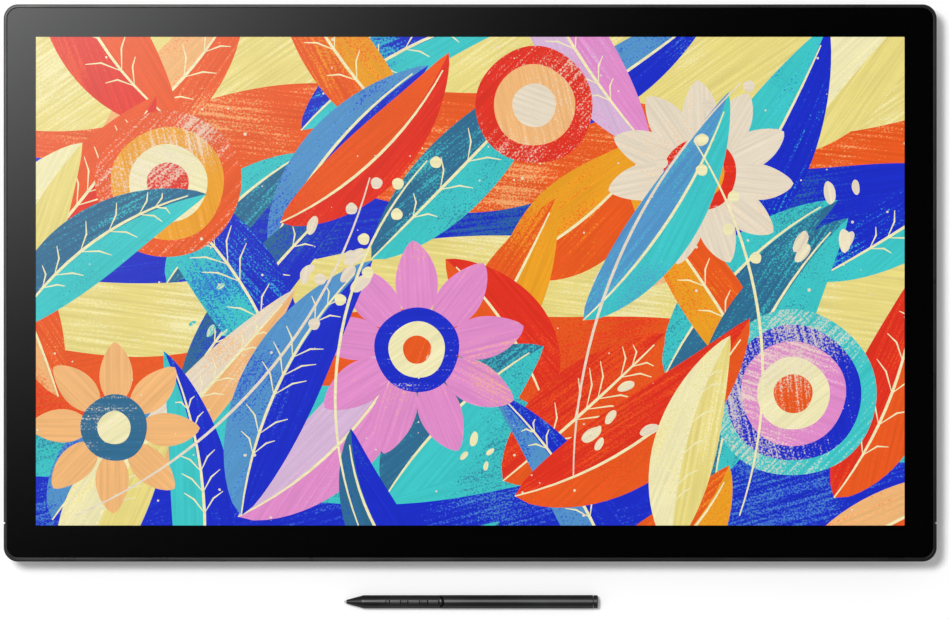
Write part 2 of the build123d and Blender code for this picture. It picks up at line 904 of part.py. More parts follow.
def make_leg_pocket(side):
    """A closed cup for a folded leg, with two ears that hold the hinge pin."""
    roof = hinge_z + leg_thickness / 2 + leg_roof_clearance
    notch_roof = back_z + finger_notch_depth
    space = pocket_space(side, 0, back_z - overrun, roof, notch_roof)
    cup = pocket_space(side, pocket_wall, back_z, roof + pocket_wall, notch_roof + pocket_wall)
    x = side * leg_x
    inner = leg_width / 2 + leg_side_clearance
    reach = inner + hinge_ear
    ear_half = leg_thickness / 2 + leg_end_clearance
    cup += block(x - reach, x + reach, hinge_y - ear_half, hinge_y + ear_half, floor_z, roof)
    cup -= space
    bore = Pos(0, hinge_y, hinge_z) * rod(hinge_pin_radius + hinge_pin_seat, x - reach, x + reach)
    return cup - bore


def leg_pocket_outline(side):
    roof = frame_bottom
    return pocket_space(side, pocket_wall, back_z - overrun, roof, roof)


def make_rear_cover():
    tray = cover_outer() - cover_inner()
    for x, y in cover_screw_places():
        tray += post(cover_boss_radius, x, y, back_z, plate_bottom)
    for x, y in vesa_places():
        tray += post(vesa_boss_radius, x, y, back_z, plate_bottom)
    tray -= bay_outer()
    for side in (-1, 1):
        tray -= leg_pocket_outline(side)
    head_clearance = cover_screw_head_radius + cover_screw_recess_clearance
    seat_z = back_z + cover_screw_recess + cover_screw_head_height
    for x, y in cover_screw_places():
        tray -= post(cover_screw_radius + screw_clearance, x, y, back_z - overrun, plate_bottom + overrun)
        tray -= post(head_clearance, x, y, back_z - overrun, seat_z)
    for x, y in vesa_places():
        tray -= post(insert_radius + thread_clearance, x, y, back_z - overrun, back_z + insert_length)
    return tray


def make_cover_screws():
    seat_z = back_z + cover_screw_recess + cover_screw_head_height
    length = plate_top - seat_z
    shape = screw(cover_screw_radius, length, cover_screw_head_radius, cover_screw_head_height)
    return [Pos(x, y, seat_z) * shape for x, y in cover_screw_places()]


def make_mount_inserts():
    inserts = []
    for x, y in vesa_places():
        outer = post(insert_radius, x, y, back_z, back_z + insert_length)
        bore = post(vesa_hole_radius, x, y, back_z - overrun, back_z + insert_length + overrun)
        inserts.append(outer - bore)
    return inserts


def make_rubber_feet():
    """Three long feet on each side: at the front, at the back and half-way up the side."""
    front_y = -half_depth + front_foot_inset
    rear_y = half_depth - rear_foot_inset
    feet = []
    for side in (-1, 1):
        front_x = side * (half_width - front_foot_side_inset)
        side_x = side * (half_width - side_foot_inset)
        pads = [
            Pos(front_x, front_y, 0) * SlotOverall(front_foot_length, foot_width),
            Pos(side * rear_foot_x, rear_y, 0) * SlotOverall(rear_foot_length, foot_width),
            Pos(side_x, 0, 0) * SlotOverall(side_foot_length, foot_width, 90),
        ]
        feet += [extrude(pad, foot_height, dir=(0, 0, 1)) for pad in pads]
    return feet


# Fold-out legs

def make_leg(side):
    """A plate with a round knuckle at the hinge, hollow between its ribs on the inner face."""
    x = side * leg_x
    half = leg_width / 2
    half_thickness = leg_thickness / 2
    body = block(x - half, x + half, -leg_length, 0, -half_thickness, half_thickness)
    body = fillet(body.edges().filter_by(Axis.Y).group_by(Axis.Z)[0], leg_edge_radius)
    body += rod(half_thickness, x - half, x + half)
    cell = (leg_width - 3 * leg_rib) / 2
    for column in (-1, 1):
        center = x + column * (cell + leg_rib) / 2
        body -= block(center - cell / 2, center + cell / 2, -leg_length + leg_rib, -leg_hollow_start,
                      -half_thickness + leg_skin, half_thickness + overrun)
    body -= rod(hinge_pin_radius + hinge_pin_clearance, x - half - overrun, x + half + overrun)
    return Pos(0, hinge_y, hinge_z) * body


def make_hinge_pin(side):
    x = side * leg_x
    reach = leg_width / 2 + leg_side_clearance + hinge_ear
    return Pos(0, hinge_y, hinge_z) * rod(hinge_pin_radius, x - reach, x + reach)


def make_leg_pad(side):
    """A rubber tip with a rounded end."""
    x = side * leg_x
    half = leg_width / 2
    y_high = hinge_y - leg_length
    half_thickness = leg_thickness / 2
    tip = block(x - half, x + half, y_high - leg_pad_length, y_high, hinge_z - half_thickness,
                hinge_z + half_thickness)
    return fillet(tip.edges().filter_by(Axis.X).group_by(Axis.Y)[0], leg_pad_radius)


# The pen, built along X from the tip of its nib, with its axis at zero

def make_pen_nib():
    nib = rod(nib_radius, 0, nib_length)
    return fillet(nib.edges().group_by(Axis.X)[0], nib_round)


def make_pen_nose():
    bore = nib_radius + nib_clearance
    spigot_end = nose_end + nose_spigot_length
    profile = Polyline(
        (nib_reach, bore),
        (nib_reach, nose_tip_radius),
        (nose_end, grip_radius),
        (nose_end, nose_spigot_radius),
        (spigot_end, nose_spigot_radius),
        (spigot_end, nose_spigot_bore),
        (nose_chamber_start, nose_spigot_bore),
        (nose_chamber_start, bore),
        close=True,
    )
    cone = revolve(make_face(profile), Axis.X)
    rim = cone.edges().filter_by(GeomType.CIRCLE).group_by(Axis.X)[0].sort_by(SortBy.LENGTH)[-1]
    return fillet(rim, nose_tip_round)


def make_pen_ferrite():
    return hollow_rod(ferrite_radius, nib_radius + ferrite_clearance, ferrite_start, ferrite_end)


def make_pen_coil():
    return hollow_rod(coil_radius, ferrite_radius + coil_clearance, coil_start, coil_start + coil_length)


def make_pen_pressure_sensor():
    """A short plug with a cup for the nib's tail."""
    body = rod(grip_bore - pressure_clearance, pressure_start, pressure_start + pressure_length)
    cup_end = nib_length + pressure_cup_room
    return body - rod(nib_radius + pressure_cup_clearance, pressure_start - overrun, cup_end)


def above_axis(radius):
    """An upright cylinder at the tongue's centre, from the pen's axis up."""
    return post(radius, tongue_tip - tongue_radius, 0, 0, pen_radius + overrun)


def make_pen_front_barrel():
    """The grip: a tube with a slot for the switches and a round tongue at its rear end."""
    tube = hollow_rod(grip_radius, grip_bore, nose_end, grip_end)
    tongue = hollow_rod(grip_radius, grip_bore, grip_end - overrun, tongue_tip) & above_axis(tongue_radius)
    spigot_end = grip_end + joint_spigot_length
    spigot = hollow_rod(joint_spigot_radius, joint_spigot_bore, grip_end - joint_spigot_lead, spigot_end)
    x_low = strip_start - strip_clearance
    x_high = strip_end + strip_clearance
    half = strip_width / 2 + strip_clearance
    return tube + tongue + spigot - block(x_low, x_high, -half, half, 0, pen_radius + overrun)


def make_pen_mid_barrel():
    """A tube that ends in a thick ring and a spigot for the rear barrel."""
    tube = hollow_rod(pen_radius, barrel_bore, grip_end, barrel_seam)
    ring_start = barrel_seam - joint_ring_length
    ring = hollow_rod(pen_radius, joint_spigot_bore, ring_start, barrel_seam)
    spigot_end = barrel_seam + joint_spigot_length
    spigot = hollow_rod(joint_spigot_radius, joint_spigot_bore, ring_start, spigot_end)
    return tube + ring + spigot - above_axis(tongue_radius + tongue_gap)


def make_pen_rear_barrel():
    tube = hollow_rod(pen_radius, barrel_bore, barrel_seam, barrel_end)
    bore = eraser_stem_radius + eraser_stem_clearance
    return tube + hollow_rod(pen_radius, bore, bulkhead_end - bulkhead_thickness, bulkhead_end)


def make_pen_eraser():
    cap = rod(pen_radius - eraser_step, eraser_start, pen_length)
    cap = fillet(cap.edges().group_by(Axis.X)[-1], eraser_round)
    return cap + rod(eraser_stem_radius, eraser_stem_end, eraser_start)


def make_pen_tail_switch():
    return rod(inner_radius, tail_switch_end - tail_switch_length, tail_switch_end)


def make_pen_weight():
    return rod(inner_radius, weight_start, weight_start + weight_length)


def button_spans():
    """Start and end of each side switch along the pen."""
    spans = []
    start = strip_start
    for spacer, length in zip(spacer_lengths, button_lengths):
        start += spacer
        spans.append((start, start + length))
        start += length
    return spans


def make_pen_switch_bezel():
    """The strip that the side switches stand in: a floor with windows and two ribbed spacers."""
    half = strip_width / 2
    spans = button_spans()
    floor = block(strip_start, strip_end, -half, half, strip_floor, strip_top)
    raised = block(strip_start, spans[0][0], -half, half, strip_floor, pen_radius)
    for (_, low), (high, _) in zip(spans, spans[1:]):
        raised += block(low, high, -half, half, strip_floor, pen_radius)
        for offset in spread(tick_count, tick_pitch):
            x = (low + high) / 2 + offset
            raised -= block(x - tick_width / 2, x + tick_width / 2, -half - overrun, half + overrun,
                            grip_radius - tick_depth, pen_radius + overrun)
    strip = floor + (raised & rod(grip_radius, strip_start, strip_end))
    window_half = stem_width / 2 + stem_clearance
    inset = stem_inset - stem_clearance
    for start, end in spans:
        strip -= block(start + inset, end - inset, -window_half, window_half, 0, strip_top + overrun)
    return strip


def make_pen_button(span):
    """A switch cap with a gently crowned top, and a stem down to its dome."""
    start, end = span
    half = strip_width / 2
    cap_floor = strip_top + pen_button_travel + pen_button_float
    cap = block(start + pen_button_gap, end - pen_button_gap, -half, half, cap_floor, pen_radius + overrun)
    cap &= Pos(0, 0, grip_radius + pen_button_rise - pen_button_crown) * rod(pen_button_crown, start, end)
    stem_half = stem_width / 2
    stem_low = dome_top + pen_button_travel + pen_button_float
    stem = block(start + stem_inset, end - stem_inset, -stem_half, stem_half, stem_low, cap_floor)
    return cap + stem


def make_pen_switch_board():
    half = switch_board_width / 2
    board = block(switch_board_start, switch_board_end, -half, half, switch_board_height, switch_board_top)
    dome_z = switch_board_top + dome_height / 2
    for start, end in button_spans():
        board += Pos((start + end) / 2, 0, dome_z) * Box(dome_length, dome_width, dome_height)
    return board


def tablet_nodes():
    return {
        "cover_glass": make_cover_glass(),
        "border_mask": make_border_mask(),
        "glass_gasket": make_glass_gasket(),
        "optical_bond": make_optical_bond(),
        "lcd_panel": make_lcd_panel(),
        "prism_film": make_prism_film(),
        "diffuser_film": make_diffuser_film(),
        "light_guide": make_light_guide(),
        "reflector_sheet": make_reflector_sheet(),
        "backlight_frame": make_backlight_frame(),
        "led_strip": make_led_strip(),
        "lcd_driver_board": make_driver_board(),
        "lcd_flexes": make_lcd_flexes(),
        "sensor_board": make_sensor_board(),
        "shield_plate": make_shield_plate(),
        "front_frame": make_front_frame(),
        "chassis_plate": make_chassis_plate(),
        "chassis_screws": make_chassis_screws(),
        "main_board": make_main_board(),
        "board_chips": make_board_chips(),
        "board_standoffs": make_board_standoffs(),
        "board_screws": make_board_screws(),
        "heat_spreader": make_heat_spreader(),
        "display_flex": make_display_flex(),
        "sensor_flex": make_sensor_flex(),
        "usb_c_sockets": make_usb_c_sockets(),
        "mini_hdmi_socket": make_hdmi_socket(),
        "lock_slot_plate": make_lock_plate(),
        "button_board": make_button_board(),
        "power_switch": make_power_switch(),
        "power_button": make_power_button(),
        "status_lens": make_status_lens(),
        "rear_cover": make_rear_cover(),
        "port_bay": make_port_bay(),
        "leg_pocket_left": make_leg_pocket(-1),
        "leg_pocket_right": make_leg_pocket(1),
        "cover_screws": make_cover_screws(),
        "mount_inserts": make_mount_inserts(),
        "rubber_feet": make_rubber_feet(),
        "leg_left": make_leg(-1),
        "leg_right": make_leg(1),
        "leg_pad_left": make_leg_pad(-1),
        "leg_pad_right": make_leg_pad(1),
        "hinge_pin_left": make_hinge_pin(-1),
        "hinge_pin_right": make_hinge_pin(1),
    }


def pen_nodes():
    front, middle, rear = button_spans()
    return {
        "pen_nib": make_pen_nib(),
        "pen_nose": make_pen_nose(),
        "pen_ferrite": make_pen_ferrite(),
        "pen_coil": make_pen_coil(),
        "pen_pressure_sensor": make_pen_pressure_sensor(),
        "pen_front_barrel": make_pen_front_barrel(),
        "pen_mid_barrel": make_pen_mid_barrel(),
        "pen_rear_barrel": make_pen_rear_barrel(),
        "pen_eraser": make_pen_eraser(),
        "pen_tail_parts": [make_pen_tail_switch(), make_pen_weight()],
        "pen_switch_bezel": make_pen_switch_bezel(),
        "pen_switch_board": make_pen_switch_board(),
        "pen_button_front": make_pen_button(front),
        "pen_button_middle": make_pen_button(middle),
        "pen_button_rear": make_pen_button(rear),
    }


def save(nodes, place):
    """Write each node as one STEP file. A list is a group of separate solids."""
    for name, shape in nodes.items():
        if isinstance(shape, list):
            shape = Compound(children=[place * piece for piece in shape])
        else:
            shape = place * shape
        export_step(shape, f"parts/{name}.step")
        print(name)


os.makedirs("parts", exist_ok=True)
save(tablet_nodes(), Pos(0, tablet_y, 0))
save(pen_nodes(), Pos(pen_tip_x, pen_y, pen_radius))
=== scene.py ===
# %% [markdown]
# # A pen display and its pen
# A pen display is a drawing tablet with a screen in it. The solids come in finished, at their real size,
# and they stay where they are. This lesson adds what the eye needs: soft edges, real finishes, a lit
# picture, a camera and studio light. All lengths are in metres.

# %% Load the solids
import bmesh
import bpy
import json
import math
import random
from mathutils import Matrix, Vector
from mathutils.geometry import delaunay_2d_cdt


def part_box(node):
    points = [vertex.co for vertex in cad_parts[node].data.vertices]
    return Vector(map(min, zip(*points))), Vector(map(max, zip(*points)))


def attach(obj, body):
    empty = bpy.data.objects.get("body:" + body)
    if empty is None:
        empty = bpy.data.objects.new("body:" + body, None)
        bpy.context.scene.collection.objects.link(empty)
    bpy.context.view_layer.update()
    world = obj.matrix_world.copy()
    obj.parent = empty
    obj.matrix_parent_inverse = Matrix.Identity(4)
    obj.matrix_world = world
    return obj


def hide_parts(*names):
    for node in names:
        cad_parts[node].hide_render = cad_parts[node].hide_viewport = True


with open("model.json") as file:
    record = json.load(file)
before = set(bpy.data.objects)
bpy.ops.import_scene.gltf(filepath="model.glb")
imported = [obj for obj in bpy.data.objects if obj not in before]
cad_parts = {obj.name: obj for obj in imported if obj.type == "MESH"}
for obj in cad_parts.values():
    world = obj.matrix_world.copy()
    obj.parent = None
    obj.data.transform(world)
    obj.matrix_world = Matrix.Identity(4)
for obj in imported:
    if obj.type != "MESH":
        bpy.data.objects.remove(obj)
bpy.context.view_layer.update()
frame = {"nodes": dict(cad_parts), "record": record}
bpy.ops.object.select_all(action="DESELECT")

# %% [markdown]
# ## Key places
# Every place below is read from the solids, so that the dressing follows them if they change. The glass
# gives the height of the top, the clear bond in the border's opening gives the picture's edges, and the
# pen's nose gives its axis.

# %% Key places
MM = 0.001
rim_low, rim_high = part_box("front_frame")
glass_low, glass_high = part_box("cover_glass")
panel_low, panel_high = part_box("lcd_panel")
bond_low, bond_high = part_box("optical_bond")
nose_low, nose_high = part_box("pen_nose")
bond_margin = 0.3 * MM
screen_low = Vector((bond_low.x - bond_margin, bond_low.y - bond_margin))
screen_high = Vector((bond_high.x + bond_margin, bond_high.y + bond_margin))
screen_size = screen_high - screen_low
tablet_middle = (rim_low + rim_high) / 2
pen_axis_y = (nose_low.y + nose_high.y) / 2
pen_axis_z = (nose_low.z + nose_high.z) / 2
print("picture", [round(side / MM, 2) for side in screen_size], "mm")

# %% [markdown]
# ## Working by hand
# Most pieces start either from a primitive or from a copy of a solid. A solid's mesh is loose triangles, so
# the copy is welded and its flat faces are made whole before its edges are softened. Real edges are never
# sharp: a bevel of a few tenths of a millimetre is what catches the light.

# %% Helpers for edit mode
weld_distance = 0.001 * MM
flat_angle = math.radians(0.2)
sharp_angle = math.radians(25)
smooth_angle = math.radians(34)


def edit(piece):
    """Open one piece in edit mode with nothing selected."""
    bpy.ops.object.select_all(action="DESELECT")
    piece.select_set(True)
    bpy.context.view_layer.objects.active = piece
    bpy.ops.object.mode_set(mode="EDIT")
    bpy.ops.mesh.select_all(action="DESELECT")


def pick_edges(piece, test):
    """Select the sharp edges that pass the test, which is given each edge's middle and the edge."""
    bpy.ops.mesh.select_mode(type="EDGE")
    mesh = bmesh.from_edit_mesh(piece.data)
    count = 0
    for edge in mesh.edges:
        middle = (edge.verts[0].co + edge.verts[1].co) / 2
        sharp = len(edge.link_faces) == 2 and edge.calc_face_angle() > sharp_angle
        edge.select_set(sharp and test(middle, edge))
        count += edge.select
    bmesh.update_edit_mesh(piece.data)
    return count


def anywhere(middle, edge):
    """A test that every edge passes."""
    return True


def soften(piece, radius, segments, test=anywhere):
    """Bevel the sharp edges that pass the test."""
    count = pick_edges(piece, test)
    bpy.ops.mesh.bevel(offset=radius, segments=segments, affect="EDGES", clamp_overlap=False)
    bpy.ops.mesh.select_all(action="DESELECT")
    return count


def done(piece):
    """Leave edit mode, shade the curves smooth and keep the flat faces flat."""
    bpy.ops.object.mode_set(mode="OBJECT")
    bpy.ops.object.shade_smooth_by_angle(angle=smooth_angle)
    bpy.ops.object.modifier_add(type="WEIGHTED_NORMAL")
    piece.modifiers[-1].keep_sharp = True
    bpy.ops.object.modifier_apply(modifier=piece.modifiers[-1].name)
    piece.select_set(False)


def worked_copy(node, name):
    """A welded copy of a solid, open in edit mode."""
    piece = bpy.data.objects.new(name, frame["nodes"][node].data.copy())
    bpy.context.scene.collection.objects.link(piece)
    edit(piece)
    bpy.ops.mesh.customdata_custom_splitnormals_clear()
    bpy.ops.mesh.select_all(action="SELECT")
    bpy.ops.mesh.remove_doubles(threshold=weld_distance)
    bpy.ops.mesh.dissolve_limited(angle_limit=flat_angle)
    bpy.ops.mesh.select_all(action="DESELECT")
    return piece


def block(name, low, high):
    """A cube primitive stretched between two corners, open in edit mode."""
    bpy.ops.mesh.primitive_cube_add(size=1, location=(Vector(low) + Vector(high)) / 2)
    piece = bpy.context.active_object
    piece.name = name
    piece.scale = Vector(high) - Vector(low)
    bpy.ops.object.transform_apply(location=True, rotation=True, scale=True)
    edit(piece)
    return piece


# %% [markdown]
# ## Camera
# The photograph looks straight down through a long lens, so the sides of the tablet don't show. The lens is
# chosen so that the picture's width covers 576.2 mm at the height of the glass. The tablet sits a little
# left of the middle and well above it, which leaves room for the pen.

# %% Camera
image_width = 950
metres_per_pixel = 0.6065 * MM
camera_height = 3.2
camera_offset = Vector((2.9 * MM, -16.08 * MM))
sensor_width = 36.0

bpy.ops.object.camera_add(rotation=(0, 0, 0))
camera = bpy.context.active_object
camera.name = "camera"
camera.location = (*(tablet_middle.xy + camera_offset), glass_high.z + camera_height)
camera.data.sensor_width = sensor_width
camera.data.lens = sensor_width * camera_height / (image_width * metres_per_pixel)
camera.data.dof.use_dof = False
bpy.context.scene.camera = camera
print("lens", round(camera.data.lens, 1), "mm")

# %% [markdown]
# ## Node helpers
# A finish is a small graph of nodes. In these helpers an output is written as a pair, a node and the name
# or number of its socket. An input takes either such a pair or a plain value, so each finish below reads as
# a short list.

# %% Node helpers
finishes = {}
fade_start, fade_end = 0.35, 0.65


def new_finish(name):
    """An empty node material, kept under its name."""
    finish = bpy.data.materials.new(name)
    finish.cycles.emission_sampling = "NONE"
    finish.use_nodes = True
    finish.node_tree.nodes.clear()
    finishes[name] = finish
    return finish


def feed(finish, node, socket, value):
    """Link an output to an input, or set the input to a plain value."""
    if isinstance(value, tuple) and isinstance(value[0], bpy.types.Node):
        source, output = value
        finish.node_tree.links.new(source.outputs[output], node.inputs[socket])
    else:
        node.inputs[socket].default_value = value


def add(finish, kind, settings=None, **values):
    """Add a node. Settings are its own properties, and values go to its inputs by name."""
    node = finish.node_tree.nodes.new(kind)
    for key, value in (settings or {}).items():
        setattr(node, key, value)
    for key, value in values.items():
        feed(finish, node, key.replace("_", " "), value)
    return node


def surfaced(finish, shader, output="BSDF"):
    """Give a finish its shader."""
    add(finish, "ShaderNodeOutputMaterial", Surface=(shader, output))
    return finish


def reckoned(finish, operation, *terms, kind="ShaderNodeMath"):
    """The result of a sum on numbers, or on vectors if that kind of node is named."""
    node = add(finish, kind, {"operation": operation})
    for socket, term in enumerate(terms):
        feed(finish, node, socket, term)
    return node, "Value"


def mixed(finish, share, first, second):
    """A colour between two, by a grey value."""
    node = add(finish, "ShaderNodeMix", {"data_type": "RGBA"})
    for socket, value in ((0, share), (6, first), (7, second)):
        feed(finish, node, socket, value)
    return node, 2


def object_point(finish):
    """Where a point lies on its own piece."""
    return add(finish, "ShaderNodeTexCoord"), "Object"


def noise(finish, scale, detail=2.0, stretch=(1, 1, 1)):
    """Noise on object coordinates, with features one over scale metres wide."""
    mapping = add(finish, "ShaderNodeMapping", Vector=object_point(finish), Scale=stretch)
    texture = add(finish, "ShaderNodeTexNoise", Vector=(mapping, "Vector"), Scale=scale, Detail=detail)
    return texture, "Fac"


def remap(finish, source, low, high, from_low=0.3, from_high=0.7):
    """Bring a grey value into a new range."""
    node = add(finish, "ShaderNodeMapRange", Value=source, From_Min=from_low, From_Max=from_high,
               To_Min=low, To_Max=high)
    return node, "Result"


def two_tones(finish, source, first, second):
    """Fade between two colours by a grey value."""
    ramp = add(finish, "ShaderNodeValToRGB", Fac=source)
    for element, position, colour in zip(ramp.color_ramp.elements, (fade_start, fade_end), (first, second)):
        element.position = position
        element.color = (*colour, 1)
    return ramp, "Color"


def bumped(finish, source, depth):
    """The surface raised by a grey value, depth metres at most."""
    return add(finish, "ShaderNodeBump", Strength=1.0, Distance=depth, Height=source), "Normal"


# %% [markdown]
# ## Plastics, rubber and metal
# Moulded plastic has a fine spark-eroded grain and slightly uneven gloss. Anodised metal has bead-blasted
# pits, and rolled metal has long streaks. One function draws them all from a colour, a roughness and the
# size and depth of the grain, so the many parts inside can share it without looking alike.

# %% Shared finishes
cloud_scale = 28.0
duller, glossier = 0.06, 0.05


def shaded(colour, share):
    """The same colour, darker or lighter."""
    return tuple(min(1.0, part * share) for part in colour)


def grained(name, colour, roughness, grain, depth, metal=0.0, stretch=(1, 1, 1), contrast=0.14, shine=0.5,
            edge=1.0):
    """A surface with fine grain, uneven gloss and slight shifts of tone. Grain is its feature size."""
    finish = new_finish(name)
    clouds = noise(finish, cloud_scale, 4.0)
    grains = noise(finish, 1 / grain, 3.0, stretch)
    tone = two_tones(finish, clouds, shaded(colour, 1 - contrast), shaded(colour, 1 + contrast))
    shader = add(finish, "ShaderNodeBsdfPrincipled", Metallic=metal, Specular_IOR_Level=shine,
                 Specular_Tint=(edge, edge, edge, 1), Base_Color=tone,
                 Roughness=remap(finish, clouds, roughness - glossier, roughness + duller),
                 Normal=bumped(finish, grains, depth))
    return surfaced(finish, shader)


grained("black_gasket", (0.02, 0.02, 0.02), 0.9, 0.4 * MM, 0.05 * MM)
grained("white_film", (0.84, 0.84, 0.82), 0.5, 0.15 * MM, 0.005 * MM, contrast=0.03)
grained("white_moulding", (0.8, 0.8, 0.78), 0.5, 0.3 * MM, 0.01 * MM, contrast=0.04)
grained("plain_aluminium", (0.7, 0.71, 0.72), 0.35, 0.2 * MM, 0.004 * MM, 1.0, (1, 0.03, 1))
grained("plain_steel", (0.52, 0.52, 0.53), 0.38, 0.3 * MM, 0.006 * MM, 1.0, (0.04, 1, 1))
grained("screw_steel", (0.5, 0.5, 0.51), 0.3, 0.12 * MM, 0.004 * MM, 1.0)
grained("screw_black", (0.03, 0.03, 0.032), 0.4, 0.12 * MM, 0.004 * MM, 0.6)
grained("chip_black", (0.02, 0.02, 0.022), 0.55, 0.12 * MM, 0.006 * MM)
grained("plain_brass", (0.68, 0.5, 0.23), 0.3, 0.15 * MM, 0.004 * MM, 1.0)
grained("socket_steel", (0.58, 0.58, 0.59), 0.28, 0.1 * MM, 0.003 * MM, 1.0, (1, 0.1, 1))
grained("button_metal", (0.07, 0.07, 0.073), 0.36, 0.09 * MM, 0.004 * MM, 0.9)
grained("cover_black", (0.021, 0.021, 0.023), 0.55, 0.28 * MM, 0.028 * MM)
grained("black_rubber", (0.016, 0.016, 0.016), 0.85, 0.5 * MM, 0.03 * MM, contrast=0.3)
grained("black_mask", (0.0004, 0.0004, 0.0004), 0.6, 0.2 * MM, 0.001 * MM, shine=0.0)
grained("clear_lens", (0.6, 0.65, 0.7), 0.5, 0.1 * MM, 0.002 * MM)
grained("leg_metal", (0.045, 0.045, 0.048), 0.38, 0.14 * MM, 0.008 * MM, 0.8)
grained("nib_grey", (0.55, 0.55, 0.55), 0.45, 0.1 * MM, 0.003 * MM)
grained("pen_charcoal", (0.067, 0.067, 0.069), 0.38, 0.11 * MM, 0.004 * MM, 0.85, shine=0.2, edge=0.0)
grained("pen_switch_grey", (0.066, 0.066, 0.068), 0.38, 0.1 * MM, 0.004 * MM, 0.75, edge=0.1)
# Near-black for painted shade: the switch strip's floor and the sleeve in the pen's joint.
grained("painted_shade_black", (0.002, 0.002, 0.002), 0.9, 0.3 * MM, 0.01 * MM, shine=0.05)
grained("ferrite_grey", (0.05, 0.05, 0.055), 0.6, 0.2 * MM, 0.01 * MM, 0.3)
grained("frame_metal", (0.009, 0.009, 0.0095), 0.3, 0.09 * MM, 0.003 * MM, shine=0.24)
grained("led_yellow", (0.85, 0.7, 0.2), 0.4, 0.3 * MM, 0.01 * MM)
grained("light_guide", (0.75, 0.82, 0.82), 0.15, 0.9 * MM, 0.02 * MM, contrast=0.03)
print("shared finishes:", len(finishes))

# %% [markdown]
# ## Boards, flexes and windings
# Inside the case there are printed boards, amber flexes with copper tracks, and the pen's coil. Their
# patterns are stripes and cells: tracks on a board follow cells with straight sides, and a winding is a row
# of thin wires.

# %% Finishes with a pattern
track_scale = 260.0
wave_pitch = 0.314  # of a wave texture with a scale of one


def board_finish(name):
    """Solder mask over copper tracks."""
    finish = new_finish(name)
    cells = add(finish, "ShaderNodeTexVoronoi", {"distance": "CHEBYCHEV", "feature": "F1"},
                Vector=object_point(finish), Scale=track_scale)
    tracks = two_tones(finish, (cells, "Distance"), (0.012, 0.09, 0.045), (0.03, 0.17, 0.09))
    return surfaced(finish, add(finish, "ShaderNodeBsdfPrincipled", Roughness=0.35, Base_Color=tracks,
                                Normal=bumped(finish, (cells, "Distance"), 0.03 * MM)))


def striped(name, first, second, pitch, roughness, metal, depth):
    """Even stripes, such as tracks on a flex or the wires of a winding."""
    finish = new_finish(name)
    stripes = add(finish, "ShaderNodeTexWave", {"bands_direction": "X"}, Vector=object_point(finish),
                  Scale=wave_pitch / pitch)
    tone = two_tones(finish, (stripes, "Fac"), first, second)
    return surfaced(finish, add(finish, "ShaderNodeBsdfPrincipled", Roughness=roughness, Metallic=metal,
                                Base_Color=tone, Normal=bumped(finish, (stripes, "Fac"), depth)))


board_finish("circuit_green")
striped("flex_amber", (0.5, 0.22, 0.04), (0.62, 0.33, 0.1), 1.2 * MM, 0.35, 0.0, 0.02 * MM)
striped("copper_wire", (0.2, 0.06, 0.02), (0.75, 0.33, 0.14), 0.3 * MM, 0.3, 0.9, 0.08 * MM)
print("finishes so far:", len(finishes))

# %% [markdown]
# ## Glass
# The cover glass is etched so that it doesn't mirror the room. Light passes straight through it to the
# picture, and a per cent or two comes back as a wide soft sheen, more at a shallow angle. So the glass is
# mostly a transparent shader, with a rough glossy one mixed in by how far the surface turns away. Layer
# Weight's Facing is the same on both sides of the sheet, where Fresnel would turn the lower side into a
# mirror. A Beckmann lobe falls off quickly, which keeps the far side of the glass black.

# %% Glass finishes
straight_mirror = 0.0054
grazing_mirror = 0.38
grazing_power = 5
etched_roughness = 0.24
etching_scale = 9000.0
etching_depth = 0.0006 * MM
wisp_scale = 60.0


def etched_glass(name):
    """A clear sheet with a rough sheen that grows as it turns away."""
    finish = new_finish(name)
    through = add(finish, "ShaderNodeBsdfTransparent", Color=(0.985, 0.988, 0.99, 1))
    sheen = add(finish, "ShaderNodeBsdfGlossy", {"distribution": "BECKMANN"}, Roughness=etched_roughness,
                Normal=bumped(finish, noise(finish, etching_scale), etching_depth))
    facing = add(finish, "ShaderNodeLayerWeight", Blend=0.5)
    rise = reckoned(finish, "POWER", (facing, "Facing"), grazing_power)
    mix = add(finish, "ShaderNodeMixShader",
              Fac=reckoned(finish, "MULTIPLY_ADD", rise, grazing_mirror, straight_mirror))
    feed(finish, mix, 1, (through, "BSDF"))
    feed(finish, mix, 2, (sheen, "BSDF"))
    return surfaced(finish, mix, "Shader")


def clear_layer(name, low, high):
    """A clear adhesive, with faint clouds in it."""
    finish = new_finish(name)
    tone = two_tones(finish, noise(finish, wisp_scale, 3.0), low, high)
    return surfaced(finish, add(finish, "ShaderNodeBsdfTransparent", Color=tone))


etched_glass("etched_glass")
clear_layer("clear_bond", (0.985, 0.985, 0.985), (1, 1, 1))
print("finishes so far:", len(finishes))

# %% [markdown]
# ## The picture
# The screen is lit, so its picture is an emitter: it shows its colours whatever the room's light is. The
# picture is a bold paper garden of leaves, hills and discs. It is drawn as outlines, and a constrained
# triangulation cuts the panel's top along all of them at once, so that each patch of colour has a crisp
# edge at any distance. Each patch remembers its paint, what shines through it, and which way the brush
# went. Places are in shares of the screen's height, from its lower left corner.

# %% Colours of the picture
paints = {
    "yellow": (0.86, 0.73, 0.24),
    "pale": (0.93, 0.86, 0.5),
    "orange": (0.87, 0.11, 0.017),
    "red": (0.8, 0.035, 0.018),
    "cobalt": (0.014, 0.03, 0.6),
    "turquoise": (0.055, 0.6, 0.6),
    "teal": (0.035, 0.16, 0.3),
    "pink": (0.8, 0.28, 0.62),
    "amber": (0.9, 0.38, 0.022),
    "peach": (0.93, 0.5, 0.2),
    "cream": (0.85, 0.74, 0.58),
    "lilac": (0.72, 0.5, 0.72),
    "sky": (0.1, 0.32, 0.62),
    "black": (0.0, 0.0, 0.0),
}
print("paints:", len(paints))

# %% Outlines
chance = random.Random(24)
screen_wide = screen_size.x / screen_size.y
patches = []


